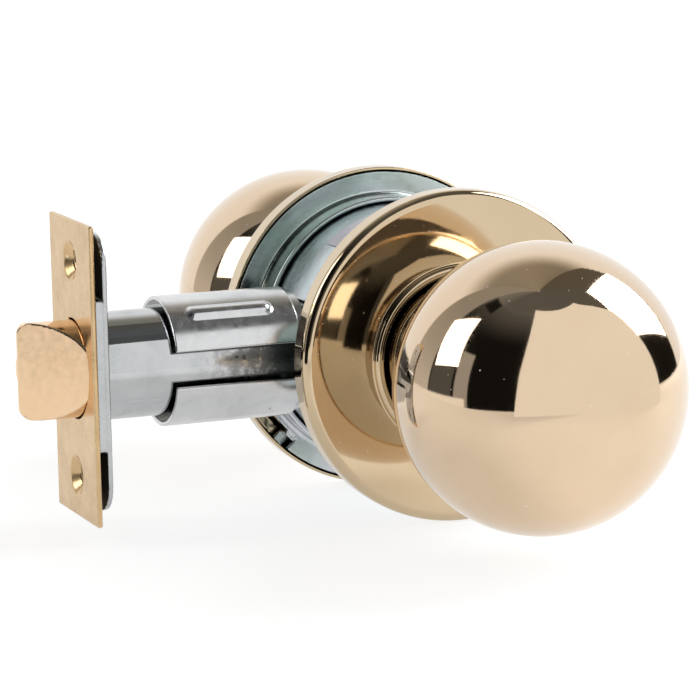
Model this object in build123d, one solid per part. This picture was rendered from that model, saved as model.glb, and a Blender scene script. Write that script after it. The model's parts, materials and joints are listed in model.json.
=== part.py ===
from build123d import *
import math
import os

# Privacy knob set for a hinged door, in millimetres. The knob axis is Y and the latch axis is X, and they
# cross at mid-door in the origin. +Z is up, the bolt points to -X, the outside of the door is -Y and the
# inside, with the push button, is +Y. Distances along the knob axis are measured from mid-door, so one
# function makes a piece for both sides.

OUTSIDE = -1
INSIDE = 1

# Door preparation
DOOR = 36.5  # space between the two rose liners
BACKSET = 69.85  # knob axis to the front of the faceplate
DOOR_BORE_R = 27.0

# Fits and clearances
RUN_FIT = 0.05  # radial play of a shaft in its bearing, and of pieces pressed together
SLIDE_GAP = 0.3  # play between sliding faces
NECK_GAP = 0.4  # play between a knob's neck and the rose
BORE_GAP = 0.3  # play of the pilot ridge in the door bore
PUSH_GAP = 0.2  # play between a cam or a claw and the piece that it moves
WIRE_SIDES = 6  # spring wire has a six-sided section

# Roses and their liners
ROSE_R = 32.0
ROSE_H = 5.25
ROSE_WALL = 0.5
ROSE_EDGE = 1.8
COLLAR_R = 17.9
COLLAR_RISE = 1.4
LINER_GAP = 0.35
LINER_T = 1.2
PILOT_W = 1.0
PILOT_H = 5.85
TAB_ANGLES = (40.5, 220.5)
TAB_W = 2.4
TAB_SHIFT = 3.0  # from the middle of the notch
TAB_T = 0.8
TAB_H = 3.6
TAB_GAP = 0.1
NOTCH_W = 9.0
NOTCH_DEPTH = 3.0

# Knobs
KNOB_R = 26.9
KNOB_STANDOFF = 25.8  # door face to the back of the ball
KNOB_WALL = 1.0
SHOULDER_R = 21.4
LIP = 1.5
NECK_R = 15.6
NECK_WALL = 0.8
NECK_REACH = 2.9  # how far the neck goes below the rose face
COVE = 6.5
CRIMP_T = 0.8
POKE_R = 1.6

# Chassis drum, hubs and screws
DRUM_GAP = 1.3
DRUM_WALL = 1.2
WINDOW_W = 22.0
LABEL_T = 0.15
LABEL_GLUE = 0.1
LABEL_Y = (-10.0, 4.0)
LABEL_ANGLES = (66.0, 130.0)
HUB_WALL = 1.95
HUB_FLANGE_T = 2.0
HUB_PROUD = 2.0
SCREW_R = 2.0
SCREW_INSET = 2.6
SCREW_HEAD_R = 3.6
SCREW_HEAD_H = 1.9
SCREW_SLOT = 0.9

# Spindles and cams
SPINDLE_R = 9.0
SPINDLE_WALL = 2.0
SPINDLE_PROUD = 1.0
CAM_IN = 3.5
CAM_T = 3.0
CAM_STEP = 0.8
TURN = 60.0  # knob turn that draws the bolt fully back, in degrees
CAM_START = 2.0  # cam face to the knob axis at rest
CAM_POINTS = 7
HEEL_ANGLE = 30.0
RING_T = 1.0
RING_W = 2.0
RING_GROOVE = 0.5

# Knob inserts and catches
INSERT_WALL = 1.95
INSERT_GAP = 0.8
INSERT_L = 16.4
INSERT_FLANGES = (0.4, 3.9)
INSERT_FLANGE_T = 1.5
CATCH_PLACE = 8.4
CATCH_W = 3.8
CATCH_RECESS = 0.2
CATCH_FOOT_T = 1.5
CATCH_FOOT_W = 6.0
CATCH_GAP = 0.1
CATCH_SPRING_GAP = 2.1
CATCH_SPRING_T = 0.6
CATCH_SPRING_DEPTH = 2.0

# Push button and locking bar
BUTTON_R = 4.5
BUTTON_PROUD = 5.0
BUTTON_BODY = 6.0
BUTTON_DOME = 1.0
BUSH_R = 5.8
BUSH_PROUD = 0.4
BUSH_DEPTH = 15.0
BUSH_FLOOR = 1.0
BAR_R = 2.2
BAR_TIP = -2.5
BLADE_W = 4.0
BLADE_T = 1.4
BLADE_LENGTH = 4.0
BLADE_GAP = 0.25
BUTTON_WIRE = 0.5
BUTTON_COILS = 4

# Retractor
THROW = 10.5
RETRACTOR_T = 5.0
ARM_GAP = 0.6
ARM_T = 3.4
RETRACTOR_FRONT = -19.2
RETRACTOR_REAR = 6.5
BRIDGE_T = 3.0
CLAW_T = 3.0
CLAW_DEPTH = 3.4
GUIDE_T = 1.7
GUIDE_HALF = 18.0
WEB_NEAR = 5.0
WEB_FAR = 11.0
SPRING_SEAT_X = 21.9
SPRING_SEAT_W = 8.0
SPRING_SEAT_H = 18.0
STUD_R = 1.5
STUD_H = 1.0
RETRACTOR_SPRING_Z = 6.0
RETRACTOR_SPRING_R = 2.2
RETRACTOR_WIRE = 0.55
RETRACTOR_COILS = 4

# Latch case
PLATE_W = 25.4
PLATE_H = 57.15
PLATE_T = 1.0
PLATE_EDGE = 0.3
PLATE_SCREWS = 41.275
PLATE_HOLE_R = 2.4
DISH_R = 3.9
DISH_DEPTH = 1.9
BACK_W = 24.0
BACK_H = 53.0
BACK_T = 1.0
BACK_GAP = 1.5
BACK_CORNER = 6.0
BACK_BOX_RIM = 0.85
BACK_BOX_H = 29.0
TUBE_R = 10.35
TUBE_WALL = 0.7
TUBE_END = -28.0
COLLAR_T = 2.0
COLLAR_SKIRT = 3.5
PRONG_T = 2.0
PRONG_W = 9.0
PRONG_L = 4.5
PRONG_GAP = 0.4  # prong to the edge of the drum's window
PRONG_CLEAR = 0.6  # prong to the tail
SPIGOT = 3.0
SLEEVE_STEP = 2.15
SLEEVE_WALL = 0.8
SLEEVE_SETBACK = 16.75
SLEEVE_BACK = -27.8
SLEEVE_SLOT = 7.0
BEAD_R = 1.9
BEAD_RISE = 0.75
BEAD_ANGLE = 53.0
BEAD_INSETS = (3.3, 4.3)  # from the sleeve's front and back

# Bolt, tail and deadlatch
BOLT_FLAT = 2.0
BOLT_CORNER = 2.8
CORNER_SPREAD = 0.3  # the tip's rounding starts this far outside the bolt's sides
BEVEL_TIP = 1.6
BEVEL_FOOT = -7.9
FLANGE_SETBACK = 15.85
FLANGE_T = 1.5
BOSS_GAP = 1.65  # boss to the spring round it
BOSS_L = 5.5
TAIL_T = 3.0
TAIL_TONGUE = 8.0
TAIL_GAP = 0.4  # tail to the retractor's claws
TAIL_SPRING_GAP = 1.55
TAIL_PRONG = 2.2
FORK_L = 13.6
EAR_GAP = 1.2
EAR_T = 3.6
PIN_R = 1.2
PIN_L = 10.0
LATCH_SPRING_GAP = 0.75
LATCH_WIRE = 0.9
LATCH_COILS = 4
PLUNGER_R = 3.6
PLUNGER_SETBACK = 0.55
PLUNGER_L = 14.0
PLUNGER_NOSE = 1.2
PLUNGER_SPRING_R = 1.25
PLUNGER_WIRE = 0.4
PLUNGER_COILS = 6

# Sizes and places that follow from the sizes above
HALF_DOOR = DOOR / 2
FACE = HALF_DOOR + ROSE_H
LINER_R = ROSE_R - ROSE_WALL - LINER_GAP
PILOT_R = DOOR_BORE_R - BORE_GAP
NECK_BORE = NECK_R - NECK_WALL
SHOULDER_Y = HALF_DOOR + KNOB_STANDOFF
KNOB_Y = SHOULDER_Y + math.sqrt(KNOB_R**2 - SHOULDER_R**2)
SEAM_Y = SHOULDER_Y + KNOB_WALL
SEAM_R = math.sqrt((KNOB_R - KNOB_WALL) ** 2 - (KNOB_Y - SEAM_Y) ** 2)
LIP_R = SHOULDER_R - LIP
BALL_FRONT = KNOB_Y + KNOB_R
DRUM_R = PILOT_R - DRUM_GAP
DRUM_IN = DRUM_R - DRUM_WALL
SCREW_Z = DRUM_IN - SCREW_INSET
SPINDLE_BORE = SPINDLE_R - SPINDLE_WALL
CAM_OUT = CAM_IN + CAM_T
CAM_CORE_R = SPINDLE_R + CAM_STEP
CAM_BASE_R = THROW / math.radians(TURN)
HUB_BORE = SPINDLE_R + RUN_FIT
HUB_R = HUB_BORE + HUB_WALL
HUB_START = CAM_OUT + SLIDE_GAP
HUB_TIP = FACE + HUB_PROUD
RING_Y = HUB_TIP + SLIDE_GAP
RING_R = SPINDLE_R + RING_W
INSERT_R = SPINDLE_R + RUN_FIT + INSERT_WALL
INSERT_START = RING_Y + RING_T + INSERT_GAP
INSERT_END = INSERT_START + INSERT_L
SPINDLE_END = INSERT_END + SPINDLE_PROUD
CATCH_Y = INSERT_START + CATCH_PLACE
CATCH_TIP = INSERT_R - CATCH_RECESS
CATCH_SPRING_W = SPINDLE_BORE - CATCH_SPRING_GAP
ARM_IN = CAM_CORE_R + ARM_GAP
ARM_OUT = ARM_IN + ARM_T
CLAW_IN = ARM_IN - CLAW_DEPTH
PLATE_X = -BACKSET
PLATE_BACK = PLATE_X + PLATE_T
BACK_X = PLATE_BACK + BACK_GAP
BACK_BOX_W = 2 * (TUBE_R + BACK_BOX_RIM)
TUBE_BORE = TUBE_R - TUBE_WALL
SLEEVE_R = TUBE_R + SLEEVE_STEP
SLEEVE_BORE = SLEEVE_R - SLEEVE_WALL
SLEEVE_FRONT = PLATE_X + SLEEVE_SETBACK
BOLT_R = TUBE_BORE - SLIDE_GAP
BOLT_TIP = PLATE_X - THROW
FLANGE_FRONT = PLATE_X + FLANGE_SETBACK
FLANGE_BACK = FLANGE_FRONT + FLANGE_T
BOSS_BACK = FLANGE_BACK + BOSS_L
EAR_W = 2 * (ARM_IN - EAR_GAP)
TAIL_END = RETRACTOR_FRONT + CLAW_T + PUSH_GAP + EAR_T
TAIL_FORK = TAIL_END - FORK_L
LATCH_SPRING_R = BOLT_R - LATCH_SPRING_GAP
LATCH_SPRING_IN = LATCH_SPRING_R - LATCH_WIRE / 2
BOSS_R = LATCH_SPRING_IN - BOSS_GAP
TAIL_W = 2 * min(CLAW_IN - TAIL_GAP, LATCH_SPRING_IN - TAIL_SPRING_GAP)
PRONG_Z = TAIL_W / 2 + PRONG_CLEAR
WINDOW_H = 2 * (PRONG_Z + PRONG_T + PRONG_GAP)
PLUNGER_Y = BOLT_FLAT + SLIDE_GAP
PLUNGER_TIP = BOLT_TIP + PLUNGER_SETBACK
PLUNGER_END = PLUNGER_TIP + PLUNGER_L


def sided(solid, side):
    """A piece made for the inside of the door, or its mirror image for the outside."""
    return solid if side == INSIDE else mirror(solid, Plane.XZ)


def turned(outline):
    """Solid turned about the knob axis from an outline of (radius, distance from mid-door)."""
    return revolve(make_face(outline), Axis.Y)


def ring(inner, outer, start, end):
    """Plain ring or disc about the knob axis."""
    return turned(Polyline((inner, start), (outer, start), (outer, end), (inner, end), close=True))


def bar_x(inner, outer, start, end):
    """Plain tube or rod about the latch axis."""
    outline = Polyline((start, inner), (end, inner), (end, outer), (start, outer), close=True)
    return revolve(make_face(outline), Axis.X)


def block(x, y, z):
    """Box between the given pairs of limits."""
    sizes = [high - low for low, high in (x, y, z)]
    middle = [(high + low) / 2 for low, high in (x, y, z)]
    return Pos(*middle) * Box(*sizes)


def pair(size):
    """Limits of a size that lies evenly about zero."""
    return (-size / 2, size / 2)


def coil(radius, wire, length, turns):
    """Compression spring along Z that fills the given length from zero."""
    rise = length - wire
    path = Helix(rise / turns, rise, radius)
    section = Plane(path @ 0, z_dir=path % 0) * RegularPolygon(wire / 2, WIRE_SIDES)
    return Pos(0, 0, wire / 2) * sweep(section, path, is_frenet=True)


def rose(side):
    """Dished cover: flat face, rolled rim and a raised collar round the neck."""
    hole = NECK_R + NECK_GAP
    bead = (COLLAR_R - hole) / 2
    bead_y = FACE + COLLAR_RISE - bead
    rim = ROSE_R - ROSE_EDGE
    rim_y = FACE - ROSE_EDGE
    under = FACE - ROSE_WALL
    outline = [
        Line((ROSE_R, HALF_DOOR), (ROSE_R, rim_y)),
        CenterArc((rim, rim_y), ROSE_EDGE, 0, 90),
        Polyline((rim, FACE), (COLLAR_R, FACE), (COLLAR_R, bead_y)),
        CenterArc((hole + bead, bead_y), bead, 0, 180),
        Polyline((hole, bead_y), (hole, under), (rim, under)),
        CenterArc((rim, rim_y), ROSE_EDGE - ROSE_WALL, 0, 90),
        Polyline((ROSE_R - ROSE_WALL, rim_y), (ROSE_R - ROSE_WALL, HALF_DOOR), (ROSE_R, HALF_DOOR)),
    ]
    return sided(turned(outline), side)


def liner(side):
    """Stamped plate behind a rose: pilot ridge for the door bore, edge notches and hooked rose tabs."""
    top = HALF_DOOR + LINER_T
    plate = ring(HUB_R + RUN_FIT, LINER_R, HALF_DOOR, top)
    crest = HALF_DOOR - PILOT_H + PILOT_W / 2
    pilot_in = PILOT_R - PILOT_W
    ridge = [
        CenterArc((PILOT_R - PILOT_W / 2, crest), PILOT_W / 2, 180, 180),
        Polyline((PILOT_R, crest), (PILOT_R, HALF_DOOR), (pilot_in, HALF_DOOR), (pilot_in, crest)),
    ]
    plate += turned(ridge)
    root = LINER_R - NOTCH_DEPTH
    tip = HALF_DOOR + TAB_H
    notch = block((root, ROSE_R), (HALF_DOOR, top), pair(NOTCH_W))
    sides = (TAB_SHIFT - TAB_W / 2, TAB_SHIFT + TAB_W / 2)
    stem = block((root, root + TAB_T), (HALF_DOOR, tip), sides)
    reach = math.sqrt((ROSE_R - ROSE_WALL - TAB_GAP) ** 2 - sides[1] ** 2)
    hook = block((root, reach), (tip - TAB_T, tip), sides)
    for angle in TAB_ANGLES:
        turn = Rot(0, -angle, 0)
        plate -= turn * notch
        plate += turn * (stem + hook)
    return sided(plate - screw_holes(), side)


def screw_holes():
    """The two clearance holes for the mounting screws, right through the lock."""
    drill = ring(0, SCREW_R + RUN_FIT, -FACE, FACE)
    return Pos(0, 0, SCREW_Z) * drill + Pos(0, 0, -SCREW_Z) * drill


def hub(side):
    """Chassis end plate with the bearing tube of the spindle."""
    plate = ring(HUB_BORE, DRUM_IN - RUN_FIT, HALF_DOOR - HUB_FLANGE_T, HALF_DOOR)
    bearing = ring(HUB_BORE, HUB_R, HUB_START, HUB_TIP)
    return sided(plate + bearing - screw_holes(), side)


def drum():
    """Cylindrical chassis shell with the window that takes the latch."""
    window = block((-2 * DRUM_R, 0), pair(WINDOW_W), pair(WINDOW_H))
    return ring(DRUM_IN, DRUM_R, -HALF_DOOR, HALF_DOOR) - window


def drum_label():
    """Blank paper label that lies on the drum's upper side."""
    inner = DRUM_R + LABEL_GLUE
    outer = inner + LABEL_T
    start, end = LABEL_Y
    section = Polyline((inner, start), (outer, start), (outer, end), (inner, end), close=True)
    first, last = LABEL_ANGLES
    return Rot(0, -last, 0) * revolve(make_face(section), Axis.Y, last - first)


def mounting_screws():
    """Two round-head screws from the inside liner to the outside liner."""
    seat = HALF_DOOR + LINER_T
    shank = ring(0, SCREW_R, -seat, seat)
    head = ring(0, SCREW_HEAD_R, seat, seat + SCREW_HEAD_H)
    head = fillet(head.edges().sort_by(Axis.Y)[-1], SCREW_HEAD_H / 2)
    slot_floor = seat + SCREW_HEAD_H / 2
    slot = block(pair(2 * SCREW_HEAD_R), (slot_floor, seat + SCREW_HEAD_H), pair(SCREW_SLOT))
    screw = shank + head - slot
    return [Pos(0, 0, SCREW_Z) * screw, Pos(0, 0, -SCREW_Z) * screw]


def knob_ball(side):
    """Spun ball shell with a rolled lip at the back; the inside one is pierced for the button bush."""
    pierced = BUSH_R + RUN_FIT if side == INSIDE else 0
    bore = KNOB_R - KNOB_WALL
    front = KNOB_Y + math.sqrt(KNOB_R**2 - pierced**2)
    front_in = KNOB_Y + math.sqrt(bore**2 - pierced**2)
    outline = [
        ThreePointArc((pierced, front), (KNOB_R, KNOB_Y), (SHOULDER_R, SHOULDER_Y)),
        Polyline((SHOULDER_R, SHOULDER_Y), (LIP_R, SHOULDER_Y), (LIP_R, SEAM_Y), (SEAM_R, SEAM_Y)),
        ThreePointArc((SEAM_R, SEAM_Y), (bore, KNOB_Y), (pierced, front_in)),
        Line((pierced, front_in), (pierced, front)),
    ]
    return sided(turned(outline), side)


def knob_neck(side):
    """Neck that flares into the ball's lip and is crimped behind it, with a hole to reach the catch."""
    foot = FACE - NECK_REACH
    flare = SHOULDER_Y - COVE
    edge = LIP_R - RUN_FIT
    rim = SEAM_R - RUN_FIT
    back = SEAM_Y + CRIMP_T
    inner = edge - NECK_WALL
    outline = [
        Line((NECK_R, foot), (NECK_R, flare)),
        TangentArc((NECK_R, flare), (edge, SHOULDER_Y), tangent=(0, 1)),
        Polyline((edge, SHOULDER_Y), (edge, SEAM_Y), (rim, SEAM_Y), (rim, back), (inner, back)),
        Line((inner, back), (inner, SHOULDER_Y + NECK_WALL)),
        TangentArc((NECK_BORE, flare), (inner, SHOULDER_Y + NECK_WALL), tangent=(0, 1)),
        Polyline((NECK_BORE, flare), (NECK_BORE, foot), (NECK_R, foot)),
    ]
    poke = Pos(0, CATCH_Y, -NECK_R) * Cylinder(POKE_R, NECK_WALL * 4)
    return sided(turned(outline) - poke, side)


def catch_slot(outer):
    """Slot through the bottom wall of a tube for the knob catch."""
    wide = CATCH_W + 2 * CATCH_GAP
    return Pos(0, CATCH_Y, 0) * block(pair(wide), pair(wide), (-outer, 0))


def knob_insert(side):
    """Spool pressed into the neck, which slides on the spindle and holds the knob catch."""
    bore = SPINDLE_R + RUN_FIT
    spool = ring(bore, INSERT_R, INSERT_START, INSERT_END)
    for offset in INSERT_FLANGES:
        start = INSERT_START + offset
        spool += ring(bore, NECK_BORE - RUN_FIT, start, start + INSERT_FLANGE_T)
    return sided(spool - catch_slot(INSERT_R), side)


def cam_lobe():
    """Upper cam lobe, whose face is an involute so that the retractor moves evenly with the knob."""

    def flank(angle):
        run = CAM_START + CAM_BASE_R * angle
        x = run * math.cos(angle) - CAM_BASE_R * math.sin(angle)
        z = run * math.sin(angle) + CAM_BASE_R * math.cos(angle)
        return (x, z)

    step = math.radians(TURN) / (CAM_POINTS - 1)
    face = [flank(step * point) for point in range(CAM_POINTS)]
    root = (CAM_START, 0)
    lean = math.radians(HEEL_ANGLE)
    heel = (-CAM_CORE_R * math.cos(lean), CAM_CORE_R * math.sin(lean))
    return make_face([Line(root, face[0]), Spline(*face), Polyline(face[-1], heel, (0, 0), root)])


def cam_plate():
    """Round cam core with one lobe above and one below, between its two faces along the knob axis."""
    lobe = cam_lobe()
    outline = Circle(CAM_CORE_R) + lobe + mirror(lobe, Plane.XZ)
    return Pos(0, CAM_IN, 0) * extrude(Plane.XZ * outline, -CAM_T)


def spindle(side):
    """Knob spindle: tube with the cam plate at its inner end, a ring groove and a catch slot."""
    tube = ring(SPINDLE_BORE, SPINDLE_R, CAM_OUT, SPINDLE_END)
    tube -= ring(SPINDLE_R - RING_GROOVE, RING_R, RING_Y, RING_Y + RING_T)
    tube -= catch_slot(SPINDLE_R)
    if side == INSIDE:
        eye = ring(0, BAR_R + SLIDE_GAP, CAM_IN, CAM_OUT)
    else:
        eye = block(pair(BLADE_W + 2 * BLADE_GAP), (CAM_IN, CAM_OUT), pair(BLADE_T + 2 * BLADE_GAP))
    return sided(tube + cam_plate() - eye, side)


def retaining_ring(side):
    """Split ring in the spindle's groove, which holds the spindle in the hub."""
    gap = SPINDLE_R - RING_GROOVE
    washer = ring(gap + RUN_FIT, RING_R, RING_Y + RUN_FIT, RING_Y + RING_T - RUN_FIT)
    return sided(washer - block((0, RING_R), (RING_Y, RING_Y + RING_T), pair(gap)), side)


def knob_catch(side):
    """Spring catch that holds the knob on the spindle: a block on a curved foot inside the tube."""
    wall = SPINDLE_BORE - CATCH_GAP
    post = block(pair(CATCH_W), pair(CATCH_W), (-CATCH_TIP, -wall + CATCH_FOOT_T))
    foot = block(pair(CATCH_FOOT_W), pair(CATCH_FOOT_W), (-wall, -wall + CATCH_FOOT_T))
    foot &= Rot(90, 0, 0) * Cylinder(wall, CATCH_FOOT_W)
    return sided(Pos(0, CATCH_Y, 0) * (post + foot), side)


def catch_spring(side):
    """Oval spring round the axis, between the catch's foot and the top of the spindle's bore."""
    top = SPINDLE_BORE - CATCH_GAP
    bottom = -top + CATCH_FOOT_T + RUN_FIT
    rise = (top - bottom) / 2
    oval = Ellipse(CATCH_SPRING_W, rise) - Ellipse(CATCH_SPRING_W - CATCH_SPRING_T, rise - CATCH_SPRING_T)
    band = extrude(Plane.XZ * oval, CATCH_SPRING_DEPTH / 2, both=True)
    return sided(Pos(0, CATCH_Y, (top + bottom) / 2) * band, side)


def button_bush():
    """Cup in the inside knob's face that guides the push button and carries its spring."""
    floor = BALL_FRONT - BUSH_DEPTH
    cup = ring(BUTTON_R + RUN_FIT, BUSH_R, floor, BALL_FRONT + BUSH_PROUD)
    cup += ring(BAR_R + RUN_FIT, BUSH_R, floor, floor + BUSH_FLOOR)
    return cup


def push_button():
    """Round button with a softened edge."""
    cap = ring(0, BUTTON_R, BALL_FRONT - BUTTON_BODY, BALL_FRONT + BUTTON_PROUD)
    return fillet(cap.edges().sort_by(Axis.Y)[-1], BUTTON_DOME)


def locking_bar():
    """Bar from the button to the outside cam, with a flat blade at its tip."""
    shoulder = BAR_TIP + BLADE_LENGTH
    blade = block(pair(BLADE_W), (BAR_TIP, shoulder), pair(BLADE_T))
    return ring(0, BAR_R, shoulder, BALL_FRONT - BUTTON_BODY) + blade


def button_spring():
    """Spring between the bush's floor and the button."""
    floor = BALL_FRONT - BUSH_DEPTH + BUSH_FLOOR
    length = BALL_FRONT - BUTTON_BODY - floor
    radius = (BUTTON_R + BAR_R) / 2
    return Pos(0, floor, 0) * Rot(-90, 0, 0) * coil(radius, BUTTON_WIRE, length, BUTTON_COILS)


def retractor():
    """Sliding yoke: two arms with claws for the latch tail, cam followers and a bridge for the springs."""
    front = (RETRACTOR_FRONT, RETRACTOR_FRONT + CLAW_T)
    thick = pair(RETRACTOR_T)
    rear = (RETRACTOR_REAR - BRIDGE_T, RETRACTOR_REAR)
    follower = (CAM_START + PUSH_GAP, RETRACTOR_REAR)
    yoke = block(rear, thick, (-ARM_OUT, ARM_OUT))
    for low, high, claw in ((ARM_IN, ARM_OUT, CLAW_IN), (-ARM_OUT, -ARM_IN, -CLAW_IN)):
        yoke += block((RETRACTOR_FRONT, RETRACTOR_REAR), thick, (low, high))
        yoke += block(front, thick, (min(low, claw), max(high, claw)))
        yoke += block(follower, (-CAM_OUT, CAM_OUT), (low, high))
    for z in (-RETRACTOR_SPRING_Z, RETRACTOR_SPRING_Z):
        yoke += Pos(0, 0, z) * bar_x(0, STUD_R, RETRACTOR_REAR, RETRACTOR_REAR + STUD_H)
    return yoke & ring(0, DRUM_IN - SLIDE_GAP, -CAM_OUT, CAM_OUT)


def retractor_guides():
    """Upper and lower rails in the drum, each on two webs."""
    inner = ARM_OUT + SLIDE_GAP
    guide = block((-GUIDE_HALF, GUIDE_HALF), pair(RETRACTOR_T), (inner, inner + GUIDE_T))
    for start, end in ((-WEB_FAR, -WEB_NEAR), (WEB_NEAR, WEB_FAR)):
        guide += block((start, end), pair(RETRACTOR_T), (inner, DRUM_R))
    guide &= ring(0, DRUM_IN - RUN_FIT, -RETRACTOR_T, RETRACTOR_T)
    return [guide, mirror(guide, Plane.XY)]


def retractor_spring_seat():
    """Plate against the back of the drum with a stud for each retractor spring."""
    seat = block((SPRING_SEAT_X, DRUM_R), pair(SPRING_SEAT_W), pair(SPRING_SEAT_H))
    seat &= ring(0, DRUM_IN - RUN_FIT, -SPRING_SEAT_W, SPRING_SEAT_W)
    for z in (-RETRACTOR_SPRING_Z, RETRACTOR_SPRING_Z):
        seat += Pos(0, 0, z) * bar_x(0, STUD_R, SPRING_SEAT_X - STUD_H, SPRING_SEAT_X)
    return seat


def retractor_springs():
    """Two springs that push the retractor, and with it the knobs, back to rest."""
    length = SPRING_SEAT_X - RETRACTOR_REAR
    spring = Rot(0, 90, 0) * coil(RETRACTOR_SPRING_R, RETRACTOR_WIRE, length, RETRACTOR_COILS)
    return [Pos(RETRACTOR_REAR, 0, z) * spring for z in (-RETRACTOR_SPRING_Z, RETRACTOR_SPRING_Z)]


def latch_faceplate():
    """Square-cornered plate with two dished screw holes and an opening for the bolt and the plunger."""
    plate = block((PLATE_X, PLATE_BACK), pair(PLATE_W), pair(PLATE_H))
    plate = fillet(plate.faces().sort_by(Axis.X)[0].edges(), PLATE_EDGE)
    plate -= bolt_outline(SLIDE_GAP, PLATE_X, PLATE_BACK)
    slant = DISH_DEPTH - PLATE_T / 2
    floor = (DISH_DEPTH, 0)
    rim = (0, DISH_R)
    dish = Polyline((0, 0), rim, (slant, PLATE_HOLE_R), (DISH_DEPTH, PLATE_HOLE_R), floor, close=True)
    cup = Polyline((PLATE_T, 0), (PLATE_T, DISH_R), (DISH_DEPTH, PLATE_HOLE_R + PLATE_T), floor, close=True)
    for z in (-PLATE_SCREWS / 2, PLATE_SCREWS / 2):
        plate += Pos(PLATE_X, 0, z) * revolve(make_face(cup), Axis.X)
        plate -= Pos(PLATE_X, 0, z) * revolve(make_face(dish), Axis.X)
    return plate


def bolt_outline(grow, start, end):
    """Prism of the bolt's D section joined with the plunger's half-round, grown by a clearance."""
    flat = BOLT_FLAT + grow
    bolt = bar_x(0, BOLT_R + grow, start, end) - block((start, end), (flat, 2 * BOLT_R), pair(4 * BOLT_R))
    nub = Pos(0, PLUNGER_Y, 0) * bar_x(0, PLUNGER_R + grow, start, end)
    return bolt + nub


def latch_backing_plate():
    """Steel plate behind the faceplate: rounded ends, a boxed middle and clearance for the screws."""
    outline = Plane.YZ * RectangleRounded(BACK_W, BACK_H, BACK_CORNER)
    plate = Pos(BACK_X, 0, 0) * extrude(outline, BACK_T)
    plate += block((PLATE_BACK, BACK_X), pair(BACK_BOX_W), pair(BACK_BOX_H))
    plate -= bar_x(0, TUBE_R + RUN_FIT, PLATE_BACK, BACK_X + BACK_T)
    for z in (-PLATE_SCREWS / 2, PLATE_SCREWS / 2):
        plate -= Pos(0, 0, z) * bar_x(0, PLATE_HOLE_R, BACK_X, BACK_X + BACK_T)
    return plate


def latch_tube():
    """Thin steel tube that guides the bolt."""
    return bar_x(TUBE_BORE, TUBE_R, PLATE_BACK, TUBE_END)


def latch_rear_collar():
    """Cap on the back of the tube: carries the sleeves, guides the tail, and has prongs into the drum."""
    end = TUBE_END + COLLAR_T
    rim = SLEEVE_BORE - RUN_FIT
    plug = bar_x(0, rim, TUBE_END, end)
    plug += bar_x(TUBE_R + RUN_FIT, rim, TUBE_END - COLLAR_SKIRT, TUBE_END)
    plug -= block((TUBE_END - COLLAR_SKIRT, TUBE_END), pair(4 * rim), pair(SLEEVE_SLOT))
    plug += bar_x(0, TUBE_BORE - RUN_FIT, TUBE_END - SPIGOT, TUBE_END)
    top = PRONG_Z + PRONG_T
    for z in ((PRONG_Z, top), (-top, -PRONG_Z)):
        plug += block((end, end + PRONG_L), pair(PRONG_W), z)
    slot = block(
        (TUBE_END - SPIGOT, end),
        pair(TAIL_T + 2 * SLIDE_GAP),
        pair(TAIL_W + 2 * SLIDE_GAP),
    )
    return plug - slot


def latch_sleeve():
    """Upper half-shell round the tube, with a long embossed bead on each side."""
    half_slot = math.degrees(math.asin(SLEEVE_SLOT / 2 / SLEEVE_R))
    section = Polyline(
        (SLEEVE_FRONT, SLEEVE_BORE),
        (SLEEVE_BACK, SLEEVE_BORE),
        (SLEEVE_BACK, SLEEVE_R),
        (SLEEVE_FRONT, SLEEVE_R),
        close=True,
    )
    shell = Rot(half_slot, 0, 0) * revolve(make_face(section), Axis.X, 180 - 2 * half_slot)
    front = SLEEVE_FRONT + BEAD_INSETS[0] + BEAD_R
    back = SLEEVE_BACK - BEAD_INSETS[1] - BEAD_R
    bead = bar_x(0, BEAD_R, front, back)
    for end in (front, back):
        bead += Pos(end, 0, 0) * Sphere(BEAD_R)
    hollow = bar_x(0, SLEEVE_BORE, SLEEVE_FRONT, SLEEVE_BACK)
    for angle in (BEAD_ANGLE, 180 - BEAD_ANGLE):
        shell += Rot(angle, 0, 0) * Pos(0, SLEEVE_R + BEAD_RISE - BEAD_R, 0) * bead
    return shell - hollow


def latch_bolt():
    """Bevelled D-section bolt with a full-round flange and a slotted boss for the tail."""
    nose = bar_x(0, BOLT_R, BOLT_TIP, FLANGE_FRONT)
    nose -= block((BOLT_TIP, FLANGE_FRONT), (BOLT_FLAT, 2 * BOLT_R), pair(4 * BOLT_R))
    slope = (BEVEL_FOOT - BEVEL_TIP) / (PLATE_X - BOLT_TIP)
    low = -2 * BOLT_R
    bevel_end = BOLT_TIP + (low - BEVEL_TIP) / slope
    wedge = make_face(Polyline((BOLT_TIP, BEVEL_TIP), (bevel_end, low), (BOLT_TIP, low), close=True))
    nose -= extrude(wedge, 2 * BOLT_R, both=True)
    length = FLANGE_FRONT - BOLT_TIP + BOLT_CORNER
    width = 2 * (BOLT_R + CORNER_SPREAD)
    corners = Plane.XZ * Pos(BOLT_TIP + length / 2, 0) * RectangleRounded(length, width, BOLT_CORNER)
    nose &= extrude(corners, 2 * BOLT_R, both=True)
    bolt = nose + bar_x(0, BOLT_R, FLANGE_FRONT, FLANGE_BACK) + bar_x(0, BOSS_R, FLANGE_BACK, BOSS_BACK)
    slot = block((FLANGE_BACK, BOSS_BACK), pair(TAIL_T + 2 * RUN_FIT), pair(TAIL_TONGUE + 2 * RUN_FIT))
    return bolt - slot - tail_pin(RUN_FIT)


def tail_pin(grow=0.0):
    """Cross pin through the boss and the tail; grown, it is the hole for it."""
    middle = (FLANGE_BACK + BOSS_BACK) / 2
    return Pos(middle, 0, 0) * Rot(90, 0, 0) * Cylinder(PIN_R + grow, PIN_L)


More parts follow.
